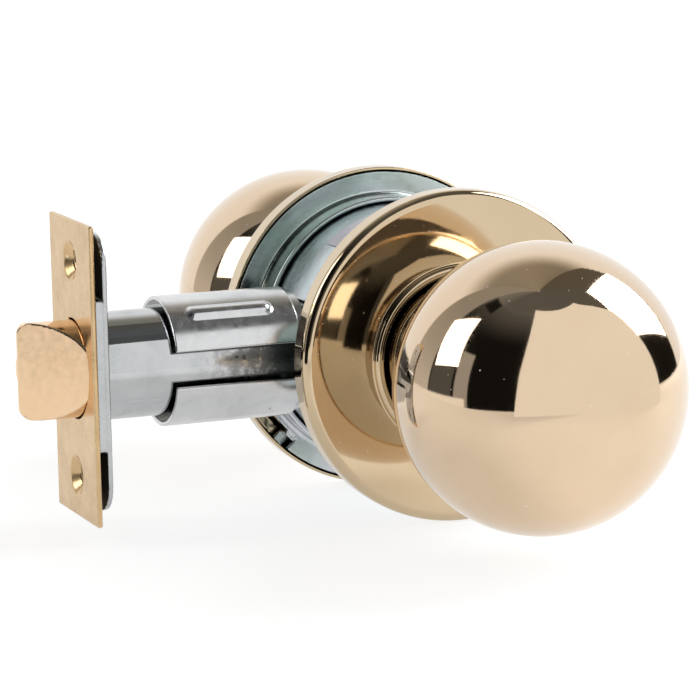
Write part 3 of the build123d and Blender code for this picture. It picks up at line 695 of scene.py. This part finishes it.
def bolt(name, cell):
    """Bolt with its bevelled nose, the flange that stops it and the boss with the slot for the tail."""
    flange_back = BOLT_END - BOSS_L
    flange_front = flange_back - FLANGE_T
    run_x, run_y = PLATE_FRONT - BOLT_TIP, BEVEL_FOOT - BEVEL_TIP
    length = math.hypot(run_x, run_y)
    half = (flange_front - BOLT_TIP + BOLT_CORNER) / 2
    slot_w, slot_h = TAIL_SLOT
    flat_edge, side_edge = 0.4, 0.25

    def field(x, y, z):
        r = np.hypot(y, z)
        nose = both(r - BOLT_R, y - BOLT_FLAT, flat_edge)
        side = rectangle(x - BOLT_TIP - half, z, half, BOLT_R + CORNER_SPREAD, BOLT_CORNER)
        nose = both(nose, side, side_edge)
        bevel = ((x - BOLT_TIP) * run_y - (y - BEVEL_TIP) * run_x) / length
        nose = both(nose, bevel, EDGE)
        nose = both(nose, x - flange_front - OVERLAP, FINE_EDGE)
        flange = both(r - BOLT_R, slab(x, flange_front, flange_back), EDGE)
        boss = both(r - BOSS_R, slab(x, flange_back - OVERLAP, BOLT_END), EDGE)
        body = np.minimum(np.minimum(nose, flange), boss)
        slot = np.maximum(np.maximum(np.abs(y) - slot_w, np.abs(z) - slot_h), flange_back - x)
        pin = np.hypot(x - (flange_back + BOLT_END) / 2, z) - TAIL_PIN_R
        return less(less(body, slot, FINE_EDGE), pin, FINE_EDGE)

    return net(name, field, (BOLT_TIP, -BOLT_R, -BOLT_R), (BOLT_END, BOLT_R, BOLT_R), cell)


def plunger(name, cell):
    """Half-round rod beside the bolt."""
    tip_edge = 1.2

    def field(x, y, z):
        rod = both(np.hypot(y - PLUNGER_Y, z) - PLUNGER_R, PLUNGER_TIP - x, tip_edge)
        return both(both(rod, PLUNGER_Y - y, EDGE), x - PLUNGER_END, EDGE)

    low = (PLUNGER_TIP, PLUNGER_Y, -PLUNGER_R)
    return net(name, field, low, (PLUNGER_END, PLUNGER_Y + PLUNGER_R, PLUNGER_R), cell)


# Colours of the finishes, from darker to lighter where there are several
BALL_BRASS = [(0.745, 0.567, 0.387), (0.782, 0.606, 0.422)]
# The necks' brass is a darker copy of the ball's: painted shade that darkens what the roses reflect of the
# necks
SHADED_NECK_BRASS = [(0.55, 0.465, 0.345), (0.59, 0.50, 0.375)]
ROSE_BRASS = [(0.64, 0.50, 0.322), (0.675, 0.532, 0.35)]
PLATE_BRASS = [(0.61, 0.415, 0.21), (0.70, 0.495, 0.27), (0.76, 0.56, 0.325)]
BOLT_BRASS = [(0.93, 0.655, 0.41), (0.96, 0.70, 0.455)]
# Pale colours painted as highlights on the edges of the faceplate and of the bolt
PLATE_EDGE_HIGHLIGHT = (0.88, 0.71, 0.50)
BOLT_EDGE_HIGHLIGHT = (0.93, 0.74, 0.52)
DUST = (0.82, 0.80, 0.76)
LINER_ZINC = [(0.32, 0.40, 0.36), (0.52, 0.60, 0.58), (0.70, 0.71, 0.75), (0.47, 0.56, 0.53)]
DRUM_ZINC = [(0.53, 0.62, 0.65), (0.63, 0.71, 0.74), (0.72, 0.75, 0.80), (0.61, 0.70, 0.71)]
STEEL = [(0.47, 0.49, 0.50), (0.56, 0.575, 0.585), (0.61, 0.62, 0.63)]
PALE_STEEL = [(0.60, 0.61, 0.62), (0.69, 0.697, 0.705), (0.75, 0.755, 0.76)]
SCUFF = (0.76, 0.77, 0.78)
# Near black, used for the oil and dirt on the tube and as painted shade on the backing plate's front
DIRT_AND_SHADE = (0.06, 0.06, 0.056)
INNER_STEEL = [(0.36, 0.36, 0.37), (0.48, 0.48, 0.49)]
SPRING_STEEL = [(0.22, 0.22, 0.23), (0.32, 0.32, 0.33)]
PAPER = [(0.62, 0.62, 0.70), (0.70, 0.69, 0.76)]

# The part of its range that a noise mostly fills, and the depths of the bumps in metres
NOISE_SPAN = (0.3, 0.7)
FINE_BUMP = 0.00002
ZINC_BUMP = 0.00003
STEEL_BUMP = 0.00004

# Where along the latch the dirt on its tube starts and is thickest, in metres
DIRT_SPAN = (-0.049, -0.030)

# Materials


class Nodes:
    """Short ways to make the shader nodes of one material."""

    def __init__(self, name):
        self.material = bpy.data.materials.new(name)
        self.material.use_nodes = True
        self.tree = self.material.node_tree
        self.tree.nodes.clear()
        self.bsdf = self.add("ShaderNodeBsdfPrincipled")
        output = self.add("ShaderNodeOutputMaterial")
        self.link(self.bsdf.outputs[0], output.inputs["Surface"])
        self.place = self.add("ShaderNodeTexCoord").outputs["Object"]

    def add(self, kind, **settings):
        node = self.tree.nodes.new(kind)
        for key, value in settings.items():
            setattr(node, key, value)
        return node

    def link(self, source, target):
        self.tree.links.new(source, target)

    def stretched(self, scale):
        node = self.add("ShaderNodeMapping")
        node.inputs["Scale"].default_value = scale
        self.link(self.place, node.inputs["Vector"])
        return node.outputs[0]

    def noise(self, scale, detail=4.0, rough=0.55, bend=0.0, place=None):
        node = self.add("ShaderNodeTexNoise")
        node.inputs["Scale"].default_value = scale
        node.inputs["Detail"].default_value = detail
        node.inputs["Roughness"].default_value = rough
        node.inputs["Distortion"].default_value = bend
        self.link(place or self.place, node.inputs["Vector"])
        return node.outputs[0]

    def cells(self, scale, place):
        node = self.add("ShaderNodeTexVoronoi")
        node.inputs["Scale"].default_value = scale
        self.link(place or self.place, node.inputs["Vector"])
        return node.outputs["Distance"], node.outputs["Color"]

    def ramp(self, value, colours, places=NOISE_SPAN):
        """Colour that runs through the given ones, each at its place in the value's range."""
        node = self.add("ShaderNodeValToRGB")
        ramp = node.color_ramp
        while len(ramp.elements) < len(colours):
            ramp.elements.new(0.5)
        for element, at, colour in zip(ramp.elements, places, colours):
            element.position = at
            element.color = (*colour, 1)
        self.link(value, node.inputs[0])
        return node.outputs[0]

    def remap(self, value, low, high, to_low, to_high):
        node = self.add("ShaderNodeMapRange")
        for k, number in enumerate((low, high, to_low, to_high), start=1):
            node.inputs[k].default_value = number
        self.link(value, node.inputs[0])
        return node.outputs[0]

    def polish(self, noise, smooth, rough):
        """Roughness that a noise spreads between two values."""
        return self.remap(noise, *NOISE_SPAN, smooth, rough)

    def edges(self, low, high):
        """1 on edges that stand out."""
        geometry = self.add("ShaderNodeNewGeometry")
        return self.remap(geometry.outputs["Pointiness"], low, high, 0.0, 1.0)

    def along_x(self, vector):
        split = self.add("ShaderNodeSeparateXYZ")
        self.link(vector, split.inputs[0])
        return split.outputs[0]

    def maths(self, operation, *values):
        node = self.add("ShaderNodeMath", operation=operation)
        for k, value in enumerate(values):
            if isinstance(value, (int, float)):
                node.inputs[k].default_value = value
            else:
                self.link(value, node.inputs[k])
        return node.outputs[0]

    def mix(self, amount, first, second):
        node = self.add("ShaderNodeMix", data_type="RGBA")
        self.link(amount, node.inputs[0])
        for socket, value in ((node.inputs[6], first), (node.inputs[7], second)):
            if isinstance(value, tuple):
                socket.default_value = (*value, 1)
            else:
                self.link(value, socket)
        return node.outputs[2]

    def dust(self, scale, share, size, place=None):
        """1 on sparse specks: one in some of the cells, each of its own size."""
        distance, colour = self.cells(scale, place)
        split = self.add("ShaderNodeSeparateColor")
        self.link(colour, split.inputs[0])
        reach = self.remap(split.outputs[0], 1 - share, 1.0, 0.0, size)
        return self.maths("LESS_THAN", distance, reach)

    def set(self, name, value):
        socket = self.bsdf.inputs[name]
        if isinstance(value, (int, float)):
            socket.default_value = value
        else:
            self.link(value, socket)

    def bump(self, height, distance, strength):
        node = self.add("ShaderNodeBump")
        node.inputs["Strength"].default_value = strength
        node.inputs["Distance"].default_value = distance
        self.link(height, node.inputs["Height"])
        self.link(node.outputs[0], self.bsdf.inputs["Normal"])


def polished_brass(name, colours, smooth, rough):
    """Lacquered brass with a few specks of dust, some of them drawn out to short hairs."""
    n = Nodes(name)
    tone = n.ramp(n.noise(55, 3), colours)
    specks = n.maths("MAXIMUM", n.dust(420, 0.6, 0.07), n.dust(1000, 0.3, 0.12))
    for way in ((1, 1, 0.12), (0.14, 1, 0.9)):
        specks = n.maths("MAXIMUM", specks, n.dust(650, 0.16, 0.075, n.stretched(way)))
    n.set("Base Color", n.mix(specks, tone, DUST))
    n.set("Metallic", n.maths("SUBTRACT", 1.0, specks))
    haze = n.remap(n.noise(70, 5, 0.6, 0.4), 0.45, 0.75, 0.0, 0.05)
    grain = n.polish(n.noise(2200, 5), smooth, rough)
    dull = n.maths("MULTIPLY", specks, 0.4)
    n.set("Roughness", n.maths("ADD", n.maths("ADD", haze, grain), dull))
    n.set("Coat Weight", 0.5)
    n.set("Coat Roughness", 0.03)
    n.bump(n.noise(420, 3), FINE_BUMP, 0.05)
    return n.material


def satin_brass(name):
    """Brushed brass of the faceplate, with a painted highlight that makes its edges bright."""
    n = Nodes(name)
    tone = n.ramp(n.noise(160, 5, 0.6), PLATE_BRASS, (0.3, 0.55, 0.75))
    # Painted highlight: edges that stand out turn pale
    n.set("Base Color", n.mix(n.edges(0.53, 0.62), tone, PLATE_EDGE_HIGHLIGHT))
    n.set("Metallic", 1.0)
    n.set("Roughness", n.polish(n.noise(700, 5, 0.6), 0.18, 0.3))
    n.bump(n.noise(900, 4), FINE_BUMP, 0.12)
    return n.material


def bolt_brass(name):
    """Cast brass of the bolt and the plunger, with a painted highlight on its edges: paler and less
    metallic there.
    """
    n = Nodes(name)
    tone = n.ramp(n.noise(110, 4, 0.6), BOLT_BRASS, (0.25, 0.75))
    # Painted highlight: edges that stand out turn pale and partly lose their metal look
    edge_highlight = n.edges(0.52, 0.6)
    n.set("Base Color", n.mix(edge_highlight, tone, BOLT_EDGE_HIGHLIGHT))
    n.set("Metallic", n.remap(edge_highlight, 0.0, 1.0, 1.0, 0.35))
    n.set("Roughness", n.polish(n.noise(600, 5, 0.6), 0.08, 0.16))
    n.bump(n.noise(700, 4), FINE_BUMP, 0.1)
    return n.material


def zinc(name, colours, smooth, rough):
    """Bright zinc plate, whose passivated skin shifts between green, blue and lilac."""
    n = Nodes(name)
    n.set("Base Color", n.ramp(n.noise(38, 3, 0.5, 0.6), colours, (0.28, 0.45, 0.6, 0.76)))
    n.set("Metallic", 1.0)
    n.set("Roughness", n.polish(n.noise(400, 5, 0.6), smooth, rough))
    n.bump(n.noise(500, 4), ZINC_BUMP, 0.12)
    return n.material


def latch_steel(name, colours, smooth, rough, waves, dirt_and_shade=None):
    """Plated steel with scuffs along the latch; the last argument tells where it is darkened: by oil and
    dirt on the tube, and by painted shade on the backing plate's front.
    """
    n = Nodes(name)
    tone = n.ramp(n.noise(110, 6, 0.65, 0.3), colours, (0.3, 0.5, 0.7))
    scuffs = n.remap(n.noise(1500, 5, 0.7, 0.0, n.stretched((0.08, 1, 1))), 0.6, 0.74, 0.0, 1.0)
    tone = n.mix(scuffs, tone, SCUFF)
    polish = n.polish(n.noise(500, 5, 0.65), smooth, rough)
    if dirt_and_shade:
        # Darkens where the mask says: oil and dirt on the tube, painted shade on the backing plate's front
        dirt_and_shade_mask = dirt_and_shade(n)
        tone = n.mix(dirt_and_shade_mask, tone, DIRT_AND_SHADE)
        polish = n.maths("ADD", polish, n.maths("MULTIPLY", dirt_and_shade_mask, 0.35))
    n.set("Base Color", tone)
    n.set("Metallic", 1.0)
    n.set("Roughness", polish)
    n.bump(n.noise(420, 5, 0.6), STEEL_BUMP, waves)
    return n.material


def oil_at_back(n):
    """Dirt on the tube towards the drum."""
    near = n.remap(n.along_x(n.place), *DIRT_SPAN, 0.0, 1.0)
    spread = n.maths("ADD", n.noise(600, 6, 0.7), n.maths("MULTIPLY", near, 0.3))
    spots = n.remap(spread, 0.45, 0.7, 0.0, 1.0)
    return n.maths("MULTIPLY", n.maths("POWER", near, 0.7), spots)


def painted_shade_front(n):
    """Painted shade on the face that looks towards the faceplate, where the gap between them lies in
    shadow.
    """
    facing = n.along_x(n.add("ShaderNodeNewGeometry").outputs["True Normal"])
    return n.remap(facing, -0.4, -0.8, 0.0, 1.0)


def plain_steel(name, colours):
    n = Nodes(name)
    n.set("Base Color", n.ramp(n.noise(140, 5), colours))
    n.set("Metallic", 1.0)
    n.set("Roughness", n.polish(n.noise(800, 5), 0.28, 0.45))
    n.bump(n.noise(1500, 3), FINE_BUMP, 0.2)
    return n.material


def label_paper(name):
    n = Nodes(name)
    n.set("Base Color", n.ramp(n.noise(300, 6, 0.7), PAPER))
    n.set("Roughness", n.polish(n.noise(900, 4), 0.4, 0.6))
    n.bump(n.noise(2500, 4), FINE_BUMP, 0.2)
    return n.material


finishes = {}
for make, name, *looks in (
    (label_paper, "label_paper"),
    (polished_brass, "polished_brass", BALL_BRASS, 0.025, 0.06),
    # Darker copy of the ball's brass, as painted shade on the necks
    (polished_brass, "neck_brass", SHADED_NECK_BRASS, 0.05, 0.1),
    (polished_brass, "rose_brass", ROSE_BRASS, 0.025, 0.06),
    (satin_brass, "satin_brass"),
    (bolt_brass, "bolt_brass"),
    (zinc, "zinc_plate", LINER_ZINC, 0.14, 0.28),
    (zinc, "drum_zinc", DRUM_ZINC, 0.16, 0.28),
    (latch_steel, "latch_steel", STEEL, 0.12, 0.24, 0.2),
    (latch_steel, "tube_steel", STEEL, 0.03, 0.07, 0.05, oil_at_back),
    (latch_steel, "sleeve_steel", PALE_STEEL, 0.13, 0.27, 0.35),
    # The backing plate's front face gets painted shade
    (latch_steel, "plate_steel", STEEL, 0.2, 0.32, 0.15, painted_shade_front),
    (plain_steel, "plain_steel", INNER_STEEL),
    (plain_steel, "spring_steel", SPRING_STEEL),
):
    finishes[name] = make(name, *looks)

slot_of = {part["node"]: part["material_slot"] for part in frame["record"]["subparts"]}
body_of = {node: body for body, nodes in frame["record"]["behaviour"]["bodies"].items() for node in nodes}
for node, obj in frame["nodes"].items():
    obj.data.materials.clear()
    obj.data.materials.append(finishes[slot_of[node]])


def show(obj, node, finish=None):
    """obj stands for a CAD node, with its finish and its body."""
    obj.data.materials.clear()
    obj.data.materials.append(finishes[finish or slot_of[node]])
    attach(obj, body_of[node])
    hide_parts(node)


def spring(obj, node, way, fixed):
    """obj stands for a spring, with its finish and its body, and gets a mesh of its own; the axis and the
    fixed end are worked out from way and fixed, but nothing uses them.
    """
    show(obj, node)
    low, high = limits(node)
    k = "XYZ".index(way)
    axis, anchor = [0, 0, 0], [0, 0, 0]
    axis[k], anchor[k] = 1, fixed(low[k], high[k]) * MM
    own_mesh(obj)


for label, side in (("outside", OUTSIDE), ("inside", INSIDE)):
    pierced = BUSH_R + FIT if side == INSIDE else 0
    show(lathe(f"{label}_ball", ball_outline(pierced), side=side), f"{label}_knob")
    show(neck(f"{label}_neck", side), f"{label}_knob_neck", "neck_brass")
    show(lathe(f"{label}_cover", rose_outline(), side=side), f"{label}_rose", "rose_brass")
    show(liner(f"{label}_liner", side, cell=0.38), f"{label}_rose_liner")
show(lathe("button_cap", button_outline(), segments=BUTTON_SEGMENTS), "push_button")
show(lathe("button_cup", bush_outline(), segments=BUTTON_SEGMENTS), "button_bush")
show(drum("drum_shell"), "chassis_drum", "drum_zinc")
show(drum_label("label_sheet"), "drum_label")
show(lathe("tube_shell", tube_outline(), axis="X"), "latch_tube", "tube_steel")
show(sleeve("sleeve_upper", 1, cell=0.3), "latch_sleeve_upper", "sleeve_steel")
show(sleeve("sleeve_lower", -1, cell=0.3), "latch_sleeve_lower", "sleeve_steel")
show(faceplate("face_plate", cell=0.28), "latch_faceplate")
show(backing_plate("back_plate", cell=0.32), "latch_backing_plate", "plate_steel")
show(bolt("bolt_body", cell=0.24), "latch_bolt", "bolt_brass")
show(plunger("plunger_body", cell=0.2), "deadlatch_plunger", "bolt_brass")

for name, node, joint, way, fixed, wire, coils in (
    ("latch_coil", "latch_spring", "bolt_slide", "X", max, LATCH_WIRE, LATCH_COILS),
    ("deadlatch_coil", "deadlatch_spring", "plunger_slide", "X", max, PLUNGER_WIRE, PLUNGER_COILS),
    ("button_coil", "button_spring", "button_press", "Y", min, BUTTON_WIRE, BUTTON_COILS),
):
    spring(swept(name, [helix(*limits(node), way, wire, coils)]), node, way, fixed)
(x_low, y_low, z_low), (x_high, y_high, z_high) = limits("retractor_springs")
width = y_high - y_low
lower = (x_low, y_low, z_low), (x_high, y_high, z_low + width)
upper = (x_low, y_low, z_high - width), (x_high, y_high, z_high)
pair = [helix(*half, "X", RETRACTOR_WIRE, RETRACTOR_COILS) for half in (lower, upper)]
spring(swept("retractor_coils", pair), "retractor_springs", "X", max)
for label in ("outside", "inside"):
    node = f"{label}_catch_spring"
    band = swept(f"{label}_catch_band", [oval_band(*limits(node), CATCH_SPRING_T)], closed=True)
    spring(band, node, "Z", max)

# Stage: pale table, white surroundings, and the dark and bright panels that the polished metal shows

BALL_CENTRE = Vector((0, -KNOB_Y, 0)) * MM
FLOOR_Z = -ROSE_R * MM

# Bearings from the near ball that part the room, by height, in degrees
FRONT_RIGHT = ([-5, 20, 48, 58, 66], [105, 108, 113, 125, 140])
FRONT_LEFT = ([-8, 20, 45, 67], [222, 219, 214, 210])
BEHIND_RIGHT = ([10, 40, 50], [69, 57, 52])
BEHIND_LEFT = 326

# Heights at which the room's parts end, in degrees
LOWEST = -12
TABLE_TOP = -3
LEFT_TOP = 66
CARD_TOP = 67

# The room's warm light comes from behind, and takes these shares off red, green and blue
WARM_BEARING = 21
WARM_LOSS = np.array([0.0, 0.12, 0.34])

# Lamp panels: corners as bearing and height in degrees, and strength
LAMP_DISTANCE = 1.35
LAMPS = {
    "softbox_right": ([(57, 38), (95, 62), (115, 30), (71, 10)], 7.0),
    "softbox_left": ([(281, 51), (305, 38), (297, 13), (274, 18)], 3.2),
}

# Table: bearing and distance of its edge, its reach, and by shader socket the grey and the glow
# that the object sees (1) and the picture shows (2)
TABLE_EDGE = (230, 0.25)
TABLE_REACH = 4.0
TABLE_ROUGHNESS = 0.9
TABLE_LOOKS = ((1, 0.4, 0.59), (2, 0.25, 0.81))


def glow(name, strength):
    material = bpy.data.materials.new(name)
    material.use_nodes = True
    tree = material.node_tree
    tree.nodes.clear()
    light = tree.nodes.new("ShaderNodeEmission")
    light.inputs["Strength"].default_value = strength
    output = tree.nodes.new("ShaderNodeOutputMaterial")
    tree.links.new(light.outputs[0], output.inputs["Surface"])
    return material, light.inputs["Color"]


def bearing_point(bearing, height, distance):
    """Point seen from the near ball at a bearing clockwise from +Y and a height, both in degrees."""
    (north, east), (level, up) = unit(bearing), unit(height)
    return BALL_CENTRE + Vector((east * level, north * level, up)) * distance


def surface(name, points, faces):
    mesh = bpy.data.meshes.new(name)
    mesh.from_pydata([tuple(p) for p in points], [], faces)
    return mesh


def unseen(name, mesh, material):
    """Part of the stage that lights the object and isn't in the picture."""
    mesh.materials.append(material)
    obj = new_object(name, mesh)
    obj.visible_camera = False


def lit(name, points, faces, strength):
    """White stage panel."""
    material, colour = glow(name, strength)
    colour.default_value = (1, 1, 1, 1)
    unseen(name, surface(name, points, faces), material)


def panel(name, corners, distance, strength):
    """Lamp panel with its corners at the given bearings and heights."""
    points = [bearing_point(b, h, distance) for b, h in corners]
    count = len(points)
    faces = [(i, (i + 1) % count, count) for i in range(count)]
    lit(name, points + [sum(points, Vector()) / count], faces, strength)


def card(name, near, far):
    """White card bent round the front of the near ball, closest on the side of the latch."""
    steps, rows, foot = 40, 39, -9
    bend = (170, 222)
    heights = np.linspace(foot, CARD_TOP, rows)
    first, last = np.interp(heights, *FRONT_RIGHT), np.interp(heights, *FRONT_LEFT)
    points = []
    for h, a, b in zip(heights, first, last):
        for bearing in np.linspace(a, b, steps + 1):
            points.append(bearing_point(bearing, h, np.interp(bearing, bend, [far, near])))
    wide = steps + 1
    faces = [
        (k * wide + i, k * wide + i + 1, (k + 1) * wide + i + 1, (k + 1) * wide + i)
        for k in range(len(heights) - 1)
        for i in range(steps)
    ]
    lit(name, points, faces, 1.0)


def soft(value, low, high):
    """Smooth step from 0 to 1."""
    t = np.clip((value - low) / (high - low), 0, 1)
    return t * t * (3 - 2 * t)


def left_tone(b, h):
    """Brightness on the latch's side: dark, with a pale wall and the bars and frames of a window."""
    dark, upper = 0.008, 0.1
    wall = np.interp(h, [3, 20, 45], [0.6, 0.45, 0.33])
    bar = (b > 262) & (b < 275) & (h < 29)
    chest = (b > 277) & (b < 300) & (h < 16)
    frame_top = (b > 277) & (b < 297) & (h > 57) & (h < 66)
    tone = dark + upper * soft(h, 40, 70)
    tone = np.where(chest, 0.1, tone)
    tone = np.where(bar, 0.38, tone)
    tone = np.where(b > 300, wall, tone)
    return np.where(frame_top, 0.01, tone)


def room_tone(b, h):
    """Brightness of the room at a bearing and a height: white table, dark gaps, dim ceiling."""
    behind = (b > BEHIND_LEFT) | (b < np.interp(h, *BEHIND_RIGHT))
    front_right, front_left = np.interp(h, *FRONT_RIGHT), np.interp(h, *FRONT_LEFT)
    front = (b > front_right) & (b < front_left)
    right = ~behind & (b <= front_right)
    left = ~behind & (b >= front_left)
    ceiling = 0.12 + 0.21 * np.maximum(np.cos(np.radians(b)), 0)
    tone = np.where(behind, 1 + (ceiling - 1) * soft(h, 40, 62), 1.0)
    tone = np.where(front & (h > TABLE_TOP), 0.1, tone)
    tone = np.where(front & (h > CARD_TOP), ceiling, tone)
    tone = np.where(right & (h > TABLE_TOP), 0.01 + 0.11 * soft(h, 18, 40), tone)
    floor_edge = np.where(b < 264, -8, -1)
    above = np.where(h > LEFT_TOP, ceiling, 0)
    return np.where(left & (h > floor_edge), np.maximum(left_tone(b, h), above), tone)


def room(name, distance, step):
    """Dome round the object that carries the room's brightness in its vertices."""
    bearings = np.arange(0, 360, step)
    heights = np.arange(LOWEST, 90, step)
    b, h = np.meshgrid(bearings, heights)
    tone = room_tone(b, h).ravel()
    points = [bearing_point(p, q, distance) for p, q in zip(b.ravel(), h.ravel())]
    points.append(bearing_point(0, 90, distance))
    count = len(bearings)
    faces = []
    for k in range(len(heights) - 1):
        for i in range(count):
            j = (i + 1) % count
            faces.append((k * count + i, k * count + j, (k + 1) * count + j, (k + 1) * count + i))
    last = (len(heights) - 1) * count
    faces += [(last + i, last + (i + 1) % count, len(points) - 1) for i in range(count)]
    tone = np.append(tone, tone[-1])[:, None]
    facing = np.maximum(np.cos(np.radians(b.ravel() - WARM_BEARING)), 0)
    warmth = np.append(facing, 0)[:, None] * (1 - np.clip(tone, 0, 1))
    colours = tone * (1 - warmth * WARM_LOSS)
    mesh = surface(name, points, faces)
    layer = mesh.attributes.new("tone", "FLOAT_COLOR", "POINT")
    layer.data.foreach_set("color", np.hstack([colours, np.ones((len(points), 1))]).ravel())
    material, colour = glow(name, 1.0)
    attribute = material.node_tree.nodes.new("ShaderNodeAttribute")
    attribute.attribute_name = "tone"
    material.node_tree.links.new(attribute.outputs["Color"], colour)
    unseen(name, mesh, material)


def pale_table(name):
    """Table, whose edge lies on the latch's side in front."""
    bearing, distance = TABLE_EDGE
    north, east = unit(bearing)
    edge_way = Vector((east, north))
    edge_at = Vector((BALL_CENTRE.x, BALL_CENTRE.y)) + edge_way * distance
    along = Vector((-edge_way.y, edge_way.x)) * TABLE_REACH
    back = edge_way * 2 * TABLE_REACH
    corners = [edge_at + along, edge_at - along, edge_at - along - back, edge_at + along - back]
    mesh = surface(name, [(c.x, c.y, FLOOR_Z) for c in corners], [(0, 1, 2, 3)])
    material = bpy.data.materials.new(name)
    material.use_nodes = True
    tree = material.node_tree
    tree.nodes.clear()
    choose = tree.nodes.new("ShaderNodeMixShader")
    tree.links.new(tree.nodes.new("ShaderNodeLightPath").outputs["Is Camera Ray"], choose.inputs[0])
    for socket, grey, glowing in TABLE_LOOKS:
        top = tree.nodes.new("ShaderNodeBsdfPrincipled")
        top.inputs["Base Color"].default_value = (grey, grey, grey, 1)
        top.inputs["Roughness"].default_value = TABLE_ROUGHNESS
        top.inputs["Emission Color"].default_value = (1, 1, 1, 1)
        top.inputs["Emission Strength"].default_value = glowing
        tree.links.new(top.outputs[0], choose.inputs[socket])
    tree.links.new(choose.outputs[0], tree.nodes.new("ShaderNodeOutputMaterial").inputs["Surface"])
    mesh.materials.append(material)
    return new_object(name, mesh)


room("room", distance=1.8, step=1.25)
card("front_card", near=0.12, far=0.21)
for name, (corners, strength) in LAMPS.items():
    panel(name, corners, LAMP_DISTANCE, strength)
table = pale_table("table")

world = bpy.data.worlds.new("white_room")
world.use_nodes = True
background = world.node_tree.nodes["Background"]
background.inputs["Color"].default_value = (1, 1, 1, 1)
background.inputs["Strength"].default_value = 1.0
scene.world = world

# Camera, fitted to the outlines in the photograph
YAW, PITCH, ROLL = 21.059, -9.799, -1.206
CAMERA_PLACE = Vector((-268.555, -662.197, 121.466)) * MM
FOCAL_PIXELS = 3692.565
PICTURE_PIXELS = 700
SENSOR_WIDTH = 36.0

(forth, aside), (level, up) = unit(YAW), unit(PITCH)
ahead = Vector((aside * level, forth * level, up))
turn = ahead.to_track_quat("-Z", "Y").to_matrix() @ Matrix.Rotation(math.radians(ROLL), 3, "Z")
lens = bpy.data.cameras.new("camera")
lens.sensor_width = SENSOR_WIDTH
lens.lens = SENSOR_WIDTH * FOCAL_PIXELS / PICTURE_PIXELS
lens.clip_start, lens.clip_end = 0.01, 50
camera = new_object("camera", lens)
camera.matrix_world = Matrix.Translation(CAMERA_PLACE) @ turn.to_4x4()
scene.camera = camera
